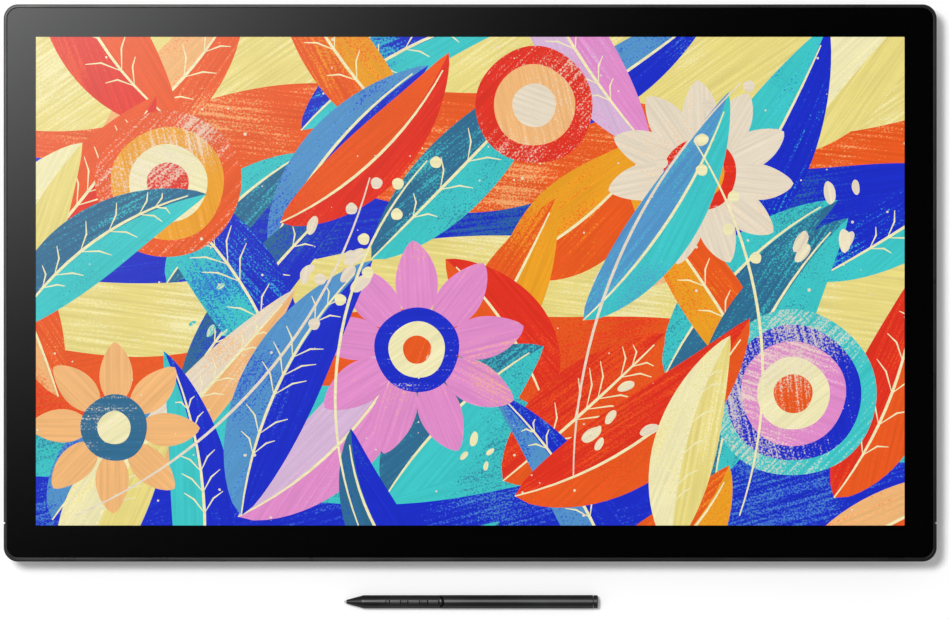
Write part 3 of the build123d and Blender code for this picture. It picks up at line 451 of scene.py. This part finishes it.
def turned(points, x, y, angle):
    """Turn an outline about zero and move it."""
    c, s = math.cos(angle), math.sin(angle)
    return [(x + c * px - s * py, y + s * px + c * py) for px, py in points]


def paint(points, colour, under="cream", dry=0.0, brush=0.0, flecks=0.0):
    """Put one more patch on top of the others."""
    patches.append((points, colour, under, dry, brush, flecks))


def along_spine(length, bend, steps):
    """Stations on a spine from zero along +X that turns by the bend: share, heading and place."""
    x = y = 0.0
    for step in range(steps + 1):
        share = step / steps
        heading = bend * (share - 0.5)
        yield share, heading, x, y
        x += length / steps * math.cos(heading)
        y += length / steps * math.sin(heading)


def belly(share):
    """How full a leaf is at a share of its length. It is widest a little before the middle."""
    return math.sin(math.pi * share ** 0.85)


def blade(length, width, bend, fullness=0.8, steps=26):
    """The outline of a leaf round its spine."""
    left, right = [], []
    for share, heading, x, y in along_spine(length, bend, steps):
        half = width / 2 * belly(share) ** fullness
        left.append((x - half * math.sin(heading), y + half * math.cos(heading)))
        right.append((x + half * math.sin(heading), y - half * math.cos(heading)))
    return right[:-1] + left[:0:-1]


def half_blade(length, width, bend, fullness=0.8, steps=26):
    """The upper half of such a leaf, from its spine to its edge."""
    spine, edge = [], []
    for share, heading, x, y in along_spine(length, bend, steps):
        half = width / 2 * belly(share) ** fullness
        spine.append((x, y))
        edge.append((x - half * math.sin(heading), y + half * math.cos(heading)))
    return spine + edge[-2:0:-1]


def spine_points(length, bend, end=1.0, steps=14):
    """Points along a leaf's spine, up to a share of it."""
    return [(x, y) for share, _, x, y in along_spine(length, bend, steps) if share <= end]


def disc(radius, wobble=0.0, steps=56):
    """A hand-cut circle."""
    phase = chance.uniform(0, 6)
    points = []
    for step in range(steps):
        angle = 2 * math.pi * step / steps
        reach = radius * (1 + wobble * math.sin(3 * angle + phase) + wobble * 0.6 * math.sin(5 * angle))
        points.append((reach * math.cos(angle), reach * math.sin(angle)))
    return points


def hill(level, height, waves, phase, steps=90):
    """Everything below a rolling line across the whole screen."""
    overrun = 0.1
    ripple_height, ripple_rate = 0.35, 2.3
    points = [(-overrun, -overrun), (screen_wide + overrun, -overrun)]
    for step in range(steps + 1):
        x = screen_wide + overrun - (screen_wide + 2 * overrun) * step / steps
        roll = math.sin(waves * x + phase) + ripple_height * math.sin(ripple_rate * waves * x + 2 * phase)
        points.append((x, level + height * roll))
    return points


def line(points, width):
    """A thin line along some points, tapered at both ends."""
    tip_share, tip_start = 0.25, 0.08
    left, right = [], []
    last = len(points) - 1
    for index, (x, y) in enumerate(points):
        before = points[max(0, index - 1)]
        after = points[min(last, index + 1)]
        dx, dy = after[0] - before[0], after[1] - before[1]
        size = math.hypot(dx, dy)
        swell = math.sin(math.pi * (tip_start + (1 - 2 * tip_start) * index / last))
        half = width / 2 * (tip_share + (1 - tip_share) * swell)
        left.append((x - half * dy / size, y + half * dx / size))
        right.append((x + half * dy / size, y - half * dx / size))
    return right + left[::-1]


# %% [markdown]
# A leaf is a blade in one colour, its upper half in a second one, and a thin light spine with a few ribs. A
# bloom is a disc of rings with petals round it, and seeds are small ovals.

# %% Motifs
spine_width = 0.006
spine_steps = 14
first_rib, rib_range = 0.2, 0.6
rib_width = 0.0035
rib_splay = 0.75
rib_reach, rib_tip, rib_sag = 0.4, 1.15, 0.06
petal_length, petal_width, petal_root, petal_bend = 1.15, 0.62, 0.45, 0.25
heart_share, heart_wobble = 0.62, 0.015
seed_lengths, seed_slimness, seed_turn = (0.6, 1.25), 0.5, 0.5
ring_crowding, ring_wobble = 0.9, 0.012
berry_offset, berry_radius = 0.018, 0.012


def leaf(x, y, angle, length, width, bend, colour, shade, ribs=0, dry=0.25):
    """A leaf in two colours, with a pair of ribs at each of a few places."""
    angle = math.radians(angle)
    paint(turned(blade(length, width, bend), x, y, angle), colour, shade, dry, angle + 0.1, 0.15)
    paint(turned(half_blade(length, width, bend), x, y, angle), shade, colour, dry + 0.1, angle - 0.1, 0.1)
    paint(turned(line(spine_points(length, bend, 0.93), spine_width), x, y, angle), "pale", "cream")
    spine = spine_points(length, bend, steps=spine_steps)
    for rib in range(ribs):
        share = first_rib + rib_range * rib / max(1, ribs - 1)
        root = spine[round(share * spine_steps)]
        reach = rib_reach * width * belly(share)
        for side in (-1, 1):
            way = bend * (share - 0.5) + side * rib_splay
            tip = (root[0] + reach * math.cos(way) * rib_tip, root[1] + reach * math.sin(way) * rib_tip)
            middle = ((root[0] + tip[0]) / 2 + rib_sag * width, (root[1] + tip[1]) / 2)
            paint(turned(line([root, middle, tip], rib_width), x, y, angle), "pale", "cream")


def bloom(x, y, radius, petals, petal_colour, rings):
    """Petals round a disc of rings."""
    start = chance.uniform(0, 1)
    for petal in range(petals):
        angle = start + 2 * math.pi * petal / petals
        petal_blade = blade(radius * petal_length, radius * petal_width, petal_bend, 0.65)
        outline = turned(petal_blade, x + radius * petal_root * math.cos(angle),
                         y + radius * petal_root * math.sin(angle), angle)
        paint(outline, petal_colour, "peach", 0.3, angle, 0.1)
    for index, colour in enumerate(rings):
        share = 1 - index / len(rings)
        heart = disc(radius * heart_share * share, heart_wobble)
        paint(turned(heart, x, y, 0), colour, "cream", 0.25, 0.6 * index, 0.1)


def scatter(x, y, wide, high, count, size, colour, angle):
    """Seeds strewn over a patch, each an oval of its own size and turn."""
    for _ in range(count):
        px = x + chance.uniform(-wide, wide)
        py = y + chance.uniform(-high, high)
        length = size * chance.uniform(*seed_lengths)
        outline = [(sx * length, sy * length * seed_slimness) for sx, sy in disc(1.0, 0.03, 20)]
        turn = math.radians(angle) + chance.uniform(-seed_turn, seed_turn)
        paint(turned(outline, px, py, turn), colour, "pale", 0.35, turn, 0)


def ringed(x, y, radius, colours, dry=0.35):
    """A sun of rings."""
    for index, colour in enumerate(colours):
        share = (1 - index / len(colours)) ** ring_crowding
        paint(turned(disc(radius * share, ring_wobble, 64), x, y, 0), colour, "cream", dry, 0.8 + index, 0.1)


def stem(x, y, angle, length, bend, colour, berries):
    """A thin stalk, with berries on both sides by turns."""
    angle = math.radians(angle)
    points = spine_points(length, bend, steps=24)
    paint(turned(line(points, spine_width), x, y, angle), colour, "cream")
    for berry in range(berries):
        px, py = points[-1 - 2 * berry]
        side = berry_offset if berry % 2 else -berry_offset
        centre = turned([(px, py + side)], x, y, angle)[0]
        paint(turned(disc(berry_radius, 0.04, 18), *centre, 0), colour, "pale", 0.2)


# %% Compose the picture
leaf_pairs = [
    ("orange", "red"), ("cobalt", "sky"), ("yellow", "pale"), ("turquoise", "teal"), ("orange", "amber"),
    ("pink", "lilac"), ("cobalt", "teal"), ("red", "orange"), ("cobalt", "turquoise"), ("teal", "turquoise"),
    ("cobalt", "sky"), ("peach", "cream"), ("orange", "peach"), ("turquoise", "cobalt"), ("amber", "orange"),
]
hill_height = 0.045
leaf_lengths, leaf_widths, most_bend = (0.36, 0.62), (0.11, 0.19), 0.9
right_lean, left_lean = (50, 13), (118, 12)  # degrees from +X and their spread
back_row, front_drop = 0.78, 0.98
column_play, row_play = 0.2, 0.05


def ground():
    """Rolling hills behind the leaves."""
    paint([(0, 0), (screen_wide, 0), (screen_wide, 1), (0, 1)], "yellow", "pale", 0.4, 0.6, 0.02)
    for crest, colour, under in ((0.86, "orange", "peach"), (0.7, "cobalt", "teal"), (0.55, "yellow", "pale"),
                                 (0.4, "orange", "red"), (0.24, "turquoise", "teal"), (0.1, "cobalt", "sky")):
        paint(hill(crest, hill_height, chance.uniform(2.6, 4.2), chance.uniform(0, 6)), colour, under, 0.35,
              chance.uniform(-0.2, 0.3), 0.15)


def foliage(rows, columns):
    """Big leaves in rows from the back to the front, most of them leaning to the right."""
    order = []
    while len(order) < rows * columns:
        order += chance.sample(leaf_pairs, len(leaf_pairs))
    for row in range(rows):
        for column in range(columns):
            length = chance.uniform(*leaf_lengths)
            angle = chance.gauss(*(right_lean if (row + 2 * column) % 4 else left_lean))
            place = column + 0.5 * (row % 2) + chance.uniform(-column_play, column_play)
            x = place * screen_wide / (columns - 0.5)
            y = back_row - front_drop * row / (rows - 1) + chance.uniform(-row_play, row_play)
            colour, shade = order.pop()
            width, bend = chance.uniform(*leaf_widths), chance.uniform(-most_bend, most_bend)
            leaf(x - 0.3 * length, y, angle, length, width, bend, colour, shade, chance.choice((0, 0, 5, 7)))


ground()
foliage(5, 8)
ringed(0.27, 0.7, 0.15, ("orange", "amber", "pale", "red"))
ringed(1.55, 0.27, 0.17, ("turquoise", "cobalt", "pink", "pale", "orange"))
ringed(1.02, 0.86, 0.12, ("red", "peach", "cream"))
bloom(0.78, 0.36, 0.14, 9, "pink", ("cobalt", "pale", "orange"))
bloom(1.36, 0.72, 0.12, 11, "cream", ("red", "amber", "cobalt"))
bloom(0.16, 0.2, 0.11, 8, "peach", ("teal", "pale"))
leaf(0.42, 0.02, 62, 0.6, 0.16, -0.7, "cobalt", "sky", 7)
leaf(0.98, 0.06, 38, 0.62, 0.17, 0.8, "orange", "red")
leaf(1.3, -0.05, 74, 0.46, 0.13, -0.5, "yellow", "pale", 6)
leaf(-0.05, 0.4, 34, 0.5, 0.14, -0.8, "turquoise", "teal", 6)
leaf(0.5, 0.62, 46, 0.5, 0.13, 0.7, "red", "orange")
leaf(1.12, 0.42, 58, 0.56, 0.13, 0.5, "turquoise", "sky")
scatter(0.6, 0.56, 0.07, 0.09, 6, 0.021, "cream", 60)
scatter(1.2, 0.22, 0.08, 0.07, 6, 0.019, "cream", 40)
scatter(1.62, 0.62, 0.07, 0.1, 6, 0.02, "cream", 70)
scatter(0.36, 0.44, 0.05, 0.05, 4, 0.014, "turquoise", 50)
scatter(0.9, 0.16, 0.05, 0.05, 4, 0.014, "pale", 50)
stem(0.08, 0.02, 50, 0.95, 0.9, "cream", 5)
stem(0.66, 0.0, 78, 0.8, -1.1, "pale", 6)
stem(1.1, 0.1, 66, 0.9, -0.8, "cream", 4)
stem(1.44, 0.02, 98, 0.8, 0.9, "pale", 5)
print("patches of paint:", len(patches))

# %% [markdown]
# The panel's own outline is put first and the screen's comes second, so everything else is clipped by
# asking for both. Of all the patches that cover a triangle, the last one painted wins.

# %% Cut the panel along the outlines
panel_gap = 0.02 * MM
inside_only, merge_distance = 1, 1e-6


def counter_clockwise(points):
    """The same outline, run the way that the triangulation asks for."""
    area = sum(a[0] * b[1] - b[0] * a[1] for a, b in zip(points, points[1:] + points[:1]))
    return points if area > 0 else points[::-1]


def cut_panel():
    """The points and triangles of the panel's top, and the patch that each triangle belongs to."""
    height = screen_size.y
    left = (panel_low.x - screen_low.x) / height
    right = (panel_high.x - screen_low.x) / height
    bottom = (panel_low.y - screen_low.y) / height
    top = (panel_high.y - screen_low.y) / height
    outer = [(left, bottom), (right, bottom), (right, top), (left, top)]
    patches.insert(0, (outer, "black", "black", 0, 0, 0))
    points, loops = [], []
    for outline, *_ in patches:
        outline = counter_clockwise(outline)
        loops.append(list(range(len(points), len(points) + len(outline))))
        points += [Vector(point) for point in outline]
    cut_points, _, faces, _, _, owners = delaunay_2d_cdt(points, [], loops, inside_only, merge_distance, True)
    kept, chosen = [], []
    for face, owner in zip(faces, owners):
        if 0 in owner:
            kept.append(face)
            chosen.append(max(owner) if 1 in owner else 0)
    places = [(screen_low.x + p.x * height, screen_low.y + p.y * height, panel_high.z - panel_gap)
              for p in cut_points]
    return places, kept, chosen


places, faces, chosen = cut_panel()
mesh = bpy.data.meshes.new("lit_panel")
mesh.from_pydata(places, [], faces)
lit_panel = bpy.data.objects.new("lit_panel", mesh)
bpy.context.scene.collection.objects.link(lit_panel)
print("triangles:", len(faces))

# %% Give each triangle its paint
def face_values(name, kind, field, values):
    """Store one value for each face under a name that the finish can ask for."""
    mesh.attributes.new(name, kind, "FACE")
    mesh.attributes[name].data.foreach_set(field, [part for value in values for part in value])


owned = [patches[patch] for patch in chosen]
face_values("paint", "FLOAT_COLOR", "color", [(*paints[colour], 1) for _, colour, *_ in owned])
face_values("under", "FLOAT_COLOR", "color", [(*paints[under], 1) for _, _, under, *_ in owned])
face_values("brush", "FLOAT_VECTOR", "vector", [(math.cos(brush), math.sin(brush), dry)
                                                for _, _, _, dry, brush, _ in owned])
face_values("fleck", "FLOAT", "value", [(flecks,) for *_, flecks in owned])
print("values for each triangle:", ("paint", "under", "brush", "fleck"))

# %% Thicken the panel
edit(lit_panel)
bpy.ops.mesh.select_all(action="SELECT")
bpy.ops.mesh.delete_loose()
bpy.ops.mesh.normals_make_consistent(inside=False)
bpy.ops.object.mode_set(mode="OBJECT")
if lit_panel.data.polygons[0].normal.z < 0:
    lit_panel.data.flip_normals()
bpy.ops.object.modifier_add(type="SOLIDIFY")
lit_panel.modifiers[-1].thickness = panel_high.z - panel_low.z - panel_gap
lit_panel.modifiers[-1].offset = -1
bpy.ops.object.modifier_apply(modifier=lit_panel.modifiers[-1].name)
print("panel faces:", len(lit_panel.data.polygons))

# %% [markdown]
# The paint is dry-brushed: long streaks follow the brush, fine grain breaks them up, and where both are
# high the colour underneath comes through. Tiny flecks of cream are strewn over some patches.

# %% The paint's finish
streak_scales = (16.0, 520.0)  # along the brush and across it
streak_share, dry_share = 0.8, 0.7
bare_from, bare_full, most_bare = 1.72, 1.92, 0.75
darkest_streak, lightest_streak = 0.88, 1.08
grain_scale, smudge_scale, fleck_scale = 900.0, 16.0, 190.0
fleck_radius = 0.2


def lit_paint(name):
    """Dry-brushed paint that glows, after the values that each face holds."""
    finish = new_finish(name)
    point = object_point(finish)
    over, under, brush, fleck = [add(finish, "ShaderNodeAttribute", {"attribute_name": value})
                                 for value in ("paint", "under", "brush", "fleck")]
    parts = add(finish, "ShaderNodeSeparateXYZ", Vector=(brush, "Vector"))
    square = add(finish, "ShaderNodeCombineXYZ", X=reckoned(finish, "MULTIPLY", (parts, "Y"), -1),
                 Y=(parts, "X"))
    streak_place = add(finish, "ShaderNodeCombineXYZ")
    for direction, socket, scale in zip((brush, square), ("X", "Y"), streak_scales):
        reach = reckoned(finish, "DOT_PRODUCT", point, (direction, "Vector"), kind="ShaderNodeVectorMath")
        feed(finish, streak_place, socket, reckoned(finish, "MULTIPLY", reach, scale))
    streaks = (add(finish, "ShaderNodeTexNoise", Vector=(streak_place, "Vector"), Scale=1.0, Detail=3.0),
               "Fac")
    rough = reckoned(finish, "MULTIPLY_ADD", streaks, streak_share, noise(finish, grain_scale))
    cloudy = reckoned(finish, "ADD", rough, noise(finish, smudge_scale))
    dry = reckoned(finish, "MULTIPLY_ADD", (parts, "Z"), dry_share, cloudy)
    bare = remap(finish, dry, 0.0, most_bare, bare_from, bare_full)
    painted = mixed(finish, bare, (over, "Color"), (under, "Color"))
    toned = add(finish, "ShaderNodeVectorMath", {"operation": "SCALE"},
                Scale=remap(finish, streaks, darkest_streak, lightest_streak))
    feed(finish, toned, 0, painted)
    cells = add(finish, "ShaderNodeTexVoronoi", {"feature": "F1"}, Vector=point, Scale=fleck_scale)
    lot = add(finish, "ShaderNodeSeparateColor", Color=(cells, "Color"))
    chosen_cell = reckoned(finish, "LESS_THAN", (lot, 0), (fleck, "Fac"))
    reach = reckoned(finish, "MULTIPLY", (lot, 1), fleck_radius)
    close = reckoned(finish, "LESS_THAN", (cells, "Distance"), reach)
    speck = reckoned(finish, "MULTIPLY", chosen_cell, close)
    final = mixed(finish, speck, (toned, "Vector"), (*paints["cream"], 1))
    return surfaced(finish, add(finish, "ShaderNodeEmission", Strength=1.0, Color=final), "Emission")


lit_paint("screen_picture")
print("finishes:", len(finishes))

# %% [markdown]
# ## Dressing a piece
# A dressed piece takes the place of its solid: it gets the finish that the record lists for it, and moves
# with the same body.

# %% Dressing helpers
slot_of = {row["node"]: row["material_slot"] for row in frame["record"]["subparts"]}
bodies = frame["record"]["behaviour"]["bodies"]
body_of = {node: body for body, nodes in bodies.items() for node in nodes}


def dress(piece, node):
    """Finish the piece as its solid is listed, and put it in the solid's place."""
    piece.data.materials.clear()
    piece.data.materials.append(finishes[slot_of[node]])
    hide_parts(node)
    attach(piece, body_of[node])


def complete(piece, node, *passes):
    """Bevel an open piece and dress it. Each pass is a radius, its segments and a test."""
    counts = [soften(piece, *settings) for settings in passes]
    done(piece)
    dress(piece, node)
    print(piece.name, "edges:", counts, "faces:", len(piece.data.polygons))


def softened(node, name, *passes):
    """Complete a copy of a solid."""
    complete(worked_copy(node, name), node, *passes)


# %% Lay out and dress the panel
# Whoever bakes the picture to an image gets nearly the whole image for the front of the panel.
front_share = 0.97
mesh = lit_panel.data
layout = mesh.uv_layers.new(name="OFBake")
for face in mesh.polygons:
    front = face.normal.z > 0.5
    for loop in face.loop_indices:
        point = mesh.vertices[mesh.loops[loop].vertex_index].co
        across = (point.x - panel_low.x) / (panel_high.x - panel_low.x)
        up = (point.y - panel_low.y) / (panel_high.y - panel_low.y)
        layout.data[loop].uv = (across, up * front_share if front else 1 - up * (1 - front_share) / 2)
dress(lit_panel, "lcd_panel")
print("panel dressed, slot", slot_of["lcd_panel"])

# %% [markdown]
# ## Cover glass
# One sheet of glass covers the picture and its black border. It starts as a block, its four upright edges
# are rounded to the solid's corner radius, and a fine bevel runs round the top as the grinder leaves it.

# %% Cover glass
corner_radius = 8.7 * MM
glass_corner = corner_radius - (rim_high.x - glass_high.x)
glass_lift = 0.01 * MM
glass_bevel = 0.12 * MM
upright_length = 0.5 * MM
near = 0.02 * MM
glass = block("glass_sheet", (glass_low.x, glass_low.y, glass_low.z + glass_lift), glass_high)


def upright(middle, edge):
    """A test for edges that stand on end."""
    return abs(edge.verts[0].co.z - edge.verts[1].co.z) > upright_length


complete(glass, "cover_glass", (glass_corner, 12, upright),
         (glass_bevel, 2, lambda middle, edge: middle.z > glass_high.z - near))

# %% [markdown]
# ## Frame
# The frame is one ring of dark anodised aluminium round the glass. A copy of the solid is welded. Two cuts
# through the middle part its flat faces into four corners, because a face that runs all the way round a
# hole can close over it. Its outer edge is rounded, so that it catches a line of light, and the lip beside
# the glass gets a narrow chamfer.

# %% Frame
outer_round, lip_round, lower_round = 0.6 * MM, 0.15 * MM, 0.3 * MM
lip_start = 1.5 * MM


def from_outline(point):
    """How far inside the frame's outer edge a point lies, round the corners too."""
    reach = rim_high - tablet_middle
    across = max(abs(point.x - tablet_middle.x) - reach.x + corner_radius, 0)
    along = max(abs(point.y - tablet_middle.y) - reach.y + corner_radius, 0)
    return corner_radius - math.hypot(across, along)


def level(height):
    """A test for edges that lie at one height."""
    return lambda middle, edge: abs(middle.z - height) < near and abs(edge.verts[0].co.z - height) < near


on_top = level(rim_high.z)
frame_ring = worked_copy("front_frame", "frame_ring")
for across in ((1, 0, 0), (0, 1, 0)):
    bpy.ops.mesh.select_all(action="SELECT")
    bpy.ops.mesh.bisect(plane_co=tablet_middle, plane_no=across)
complete(frame_ring, "front_frame",
         (outer_round, 4, lambda middle, edge: on_top(middle, edge) and from_outline(middle) < lip_start),
         (lip_round, 2, lambda middle, edge: on_top(middle, edge) and from_outline(middle) > lip_start),
         (lower_round, 3, level(rim_low.z)))

# %% [markdown]
# ## Back of the case
# The back is moulded in grained black plastic. Its sides slope in towards the table. The edge where they
# meet the flat back is rounded generously, as the mould needs, and the port bay has a small radius.

# %% Back of the case
cover_low, cover_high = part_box("rear_cover")
slope_inset = 12.0 * MM
outline_margin = 3.0 * MM
mould_round, pocket_round = 1.8 * MM, 0.3 * MM
at_back = level(cover_low.z)


def at_outline(middle):
    """Whether a point lies near the outline of the flat back."""
    reach = slope_inset + outline_margin
    return (abs(middle.x) > cover_high.x - reach or middle.y < cover_low.y + reach
            or middle.y > cover_high.y - reach)


softened("rear_cover", "case_back",
         (mould_round, 5, lambda middle, edge: at_back(middle, edge) and at_outline(middle)))
softened("port_bay", "port_recess", (pocket_round, 3, at_back))

# %% [markdown]
# ## Legs, feet and fixings
# Two flat metal legs fold into pockets in the back. Their edges are rounded for the fingers, and each has a
# rubber pad at its end. The long feet are rubber too, with soft crowns. Screw heads, threaded inserts and
# sockets are turned or stamped metal, so only a fine edge is broken on them.

# %% Legs, feet and fixings
leg_round, pad_round, foot_round = 0.5 * MM, 0.7 * MM, 0.6 * MM
for side in ("left", "right"):
    leg_low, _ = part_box("leg_" + side)
    softened("leg_" + side, "folding_leg_" + side, (leg_round, 3, level(leg_low.z)))
    softened("leg_pad_" + side, "leg_grip_" + side, (pad_round, 4))
    softened("leg_pocket_" + side, "leg_recess_" + side, (pocket_round, 3, at_back))
softened("rubber_feet", "long_feet", (foot_round, 4, level(0)))
for node, name, radius, segments in (
        ("cover_screws", "back_screws", 0.12 * MM, 2), ("mount_inserts", "threaded_inserts", 0.2 * MM, 2),
        ("usb_c_sockets", "round_sockets", 0.08 * MM, 2), ("mini_hdmi_socket", "video_socket", 0.08 * MM, 2),
        ("power_button", "start_button", 0.25 * MM, 3)):
    softened(node, name, (radius, segments))

# %% [markdown]
# ## Pen
# The pen is a satin charcoal tube in three lengths, with a grey nib in a cone and a cap at its tail. At
# this size the seams are what shows it's an assembly, so every joint gets a fine rounded edge on both
# sides. The side switches stand a tenth of a millimetre proud, with soft corners for the finger.

# %% Pen
cap_thickness, cap_round = 0.9 * MM, 0.14 * MM
for node, name, radius in (
        ("pen_nose", "nose_cone", 0.06 * MM), ("pen_front_barrel", "finger_grip", 0.08 * MM),
        ("pen_mid_barrel", "middle_tube", 0.08 * MM), ("pen_rear_barrel", "rear_tube", 0.08 * MM),
        ("pen_eraser", "tail_cap", 0.06 * MM)):
    softened(node, name, (radius, 2))
for place in ("front", "middle", "rear"):
    _, switch_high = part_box("pen_button_" + place)
    softened("pen_button_" + place, "side_switch_" + place,
             (cap_round, 3, lambda middle, edge: middle.z > switch_high.z - cap_thickness))

# %% [markdown]
# The switches stand in a narrow strip. Its front end leans back, which opens a fine groove before the first
# block, and everything below its top is black as painted shade, so that the gaps between the switches read as
# dark lines.

# %% Switch strip
strip_low, strip_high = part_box("pen_switch_bezel")
strip_shade = 0.5 * MM
groove_width = 0.35 * MM
strip_round = 0.05 * MM
strip = worked_copy("pen_switch_bezel", "switch_strip")
bpy.ops.mesh.select_mode(type="VERT")
mesh = bmesh.from_edit_mesh(strip.data)
for vertex in mesh.verts:
    vertex.select_set(vertex.co.x < strip_low.x + near and vertex.co.z > strip_high.z - strip_shade)
bmesh.update_edit_mesh(strip.data)
bpy.ops.transform.translate(value=(groove_width, 0, 0))
complete(strip, "pen_switch_bezel", (strip_round, 2))
# Painted shade: the strip's floor below its top gets the black finish, so the gaps between the switches read
# dark.
strip.data.materials.append(finishes["painted_shade_black"])
for face in strip.data.polygons:
    face.material_index = int(face.center.z < strip_high.z - strip_shade)

# %% [markdown]
# Where the grip's round tongue meets the middle tube there is a dark crescent, which is shade in the gap. A
# thin black sleeve is put on the joint as painted shade, so that the crescent shows dark. It is drawn like
# any tube: a circle is pulled along, stepped in, pulled back and joined to its own start.

# %% Black sleeve of painted shade
middle_low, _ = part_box("pen_mid_barrel")
tube_wall = 0.85 * MM
sleeve_gap = 0.01 * MM
sleeve_thickness = 0.03 * MM
sleeve_inset = 0.1 * MM
sleeve_length = 4.4 * MM


def sleeve(name, start, end, outer, inner, sides=64):
    """A tube along the pen's axis."""
    bpy.ops.mesh.primitive_circle_add(vertices=sides, radius=outer, location=(start, pen_axis_y, pen_axis_z),
                                      rotation=(0, math.pi / 2, 0))
    tube = bpy.context.active_object
    tube.name = name
    bpy.ops.object.transform_apply(location=True, rotation=True, scale=True)
    edit(tube)
    bpy.ops.mesh.select_all(action="SELECT")
    for shift, scale in ((end - start, 1), (0, inner / outer), (start - end, 1)):
        bpy.ops.mesh.extrude_region_move(TRANSFORM_OT_translate={"value": (shift, 0, 0)})
        bpy.ops.transform.resize(value=(1, scale, scale), center_override=(end, pen_axis_y, pen_axis_z))
    bpy.ops.mesh.select_all(action="DESELECT")
    bpy.ops.mesh.select_mode(type="EDGE")
    bpy.ops.mesh.select_non_manifold()
    bpy.ops.mesh.bridge_edge_loops()
    bpy.ops.mesh.select_all(action="SELECT")
    bpy.ops.mesh.normals_make_consistent(inside=False)
    done(tube)
    return tube


sleeve_start = middle_low.x + sleeve_inset
sleeve_outer = pen_axis_z - tube_wall - sleeve_gap
shade_sleeve = sleeve("shade_sleeve", sleeve_start, sleeve_start + sleeve_length, sleeve_outer,
                      sleeve_outer - sleeve_thickness)
# The sleeve's black is painted shade in the crescent.
shade_sleeve.data.materials.append(finishes["painted_shade_black"])
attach(shade_sleeve, "pen")
print("sleeve faces:", len(shade_sleeve.data.polygons))

# %% [markdown]
# ## Finishes of the solids
# What stays a plain solid gets the finish of its slot in the record.

# %% Finishes of the solids
for node, solid in frame["nodes"].items():
    for slot in solid.material_slots:
        slot.material = finishes[slot_of[node]]
print("slots in use:", len(set(slot_of.values())))

# %% [markdown]
# ## Floor and light
# The set lies on a white table. A large softbox hangs high at the upper left: it gives the short soft
# shadow at the lower right. An even grey fills the shadows. What the camera and the gloss see of the room
# is drawn apart from it: white round the horizon, a pale wall on the window side, and dark overhead, as
# round a camera on a stand, so the glass has nothing bright to mirror except the softbox's glow. The table
# glows a little where it is looked at, more with the distance, and so stays white from a low angle too.

# %% Floor
floor_side = 8
table_white = (0.93, 0.93, 0.93, 1)
glow_near, glow_far = 0.11, 0.55
glow_start, glow_end = 0.5, 3.5


def seen_directly(finish):
    """One for what the camera sees straight or through glass and gloss, else zero."""
    path = add(finish, "ShaderNodeLightPath")
    seen = reckoned(finish, "MAXIMUM", (path, "Is Camera Ray"), (path, "Is Glossy Ray"))
    return reckoned(finish, "MAXIMUM", seen, (path, "Is Transmission Ray"))


def table_finish(name):
    """Plain white that glows a little where it is seen, more with the distance."""
    finish = new_finish(name)
    reach = reckoned(finish, "LENGTH", object_point(finish), kind="ShaderNodeVectorMath")
    glow = remap(finish, reach, glow_near, glow_far, glow_start, glow_end)
    white = add(finish, "ShaderNodeBsdfDiffuse", Color=table_white)
    seen_glow = reckoned(finish, "MULTIPLY", seen_directly(finish), glow)
    lift = add(finish, "ShaderNodeEmission", Strength=seen_glow)
    both = add(finish, "ShaderNodeAddShader")
    feed(finish, both, 0, (white, "BSDF"))
    feed(finish, both, 1, (lift, "Emission"))
    return surfaced(finish, both, "Shader")


bpy.ops.mesh.primitive_plane_add(size=floor_side, location=(0, 0, 0))
floor = bpy.context.active_object
floor.name = "floor"
floor.data.materials.append(table_finish("floor_white"))
print("floor side:", floor_side, "m")

# %% Lamp
key_place = Vector((-0.88, 0.8, 3.75))
key_size = 0.8
key_power = 109

bpy.ops.object.light_add(type="AREA", location=key_place)
key = bpy.context.active_object
key.name = "key_softbox"
key.data.shape = "SQUARE"
key.data.size = key_size
key.data.energy = key_power
key.rotation_euler = key_place.to_track_quat("Z", "Y").to_euler()
print("softbox", round(key_place.length, 2), "m away")

# %% World
even_grey = (0.37, 0.37, 0.37, 1)
window_way = (-0.5, 0.85, 0)
window_from, window_to = -0.3, 0.7

world = bpy.data.worlds.new("studio")
bpy.context.scene.world = world
world.use_nodes = True
world.node_tree.nodes.clear()
direction = (add(world, "ShaderNodeTexCoord"), "Generated")
upward = add(world, "ShaderNodeSeparateXYZ", Vector=direction)


def dome(*stops):
    """Grey by height above the horizon, from 0 at the horizon to 1 overhead."""
    ramp = add(world, "ShaderNodeValToRGB", Fac=(upward, "Z"))
    elements = ramp.color_ramp.elements
    elements.remove(elements[1])
    elements[0].position = stops[0][0]
    for position, grey in stops[1:]:
        elements.new(position)
    for element, (position, grey) in zip(elements, stops):
        element.color = (grey, grey, grey, 1)
    return ramp, "Color"


dark_side = dome((0.05, 0.95), (0.15, 0.12), (0.4, 0.02))
light_side = dome((0.05, 0.95), (0.3, 0.5), (0.6, 0.25), (0.85, 0.02))
towards_window = reckoned(world, "DOT_PRODUCT", direction, window_way, kind="ShaderNodeVectorMath")
window_share = add(world, "ShaderNodeMapRange", {"interpolation_type": "SMOOTHSTEP"}, Value=towards_window,
                   From_Min=window_from, From_Max=window_to)
room = mixed(world, (window_share, "Result"), dark_side, light_side)
background = add(world, "ShaderNodeBackground", Strength=1.0,
                 Color=mixed(world, seen_directly(world), even_grey, room))
add(world, "ShaderNodeOutputWorld", Surface=(background, "Background"))
bpy.context.scene.view_settings.view_transform = "Standard"
print("world nodes:", len(world.node_tree.nodes))
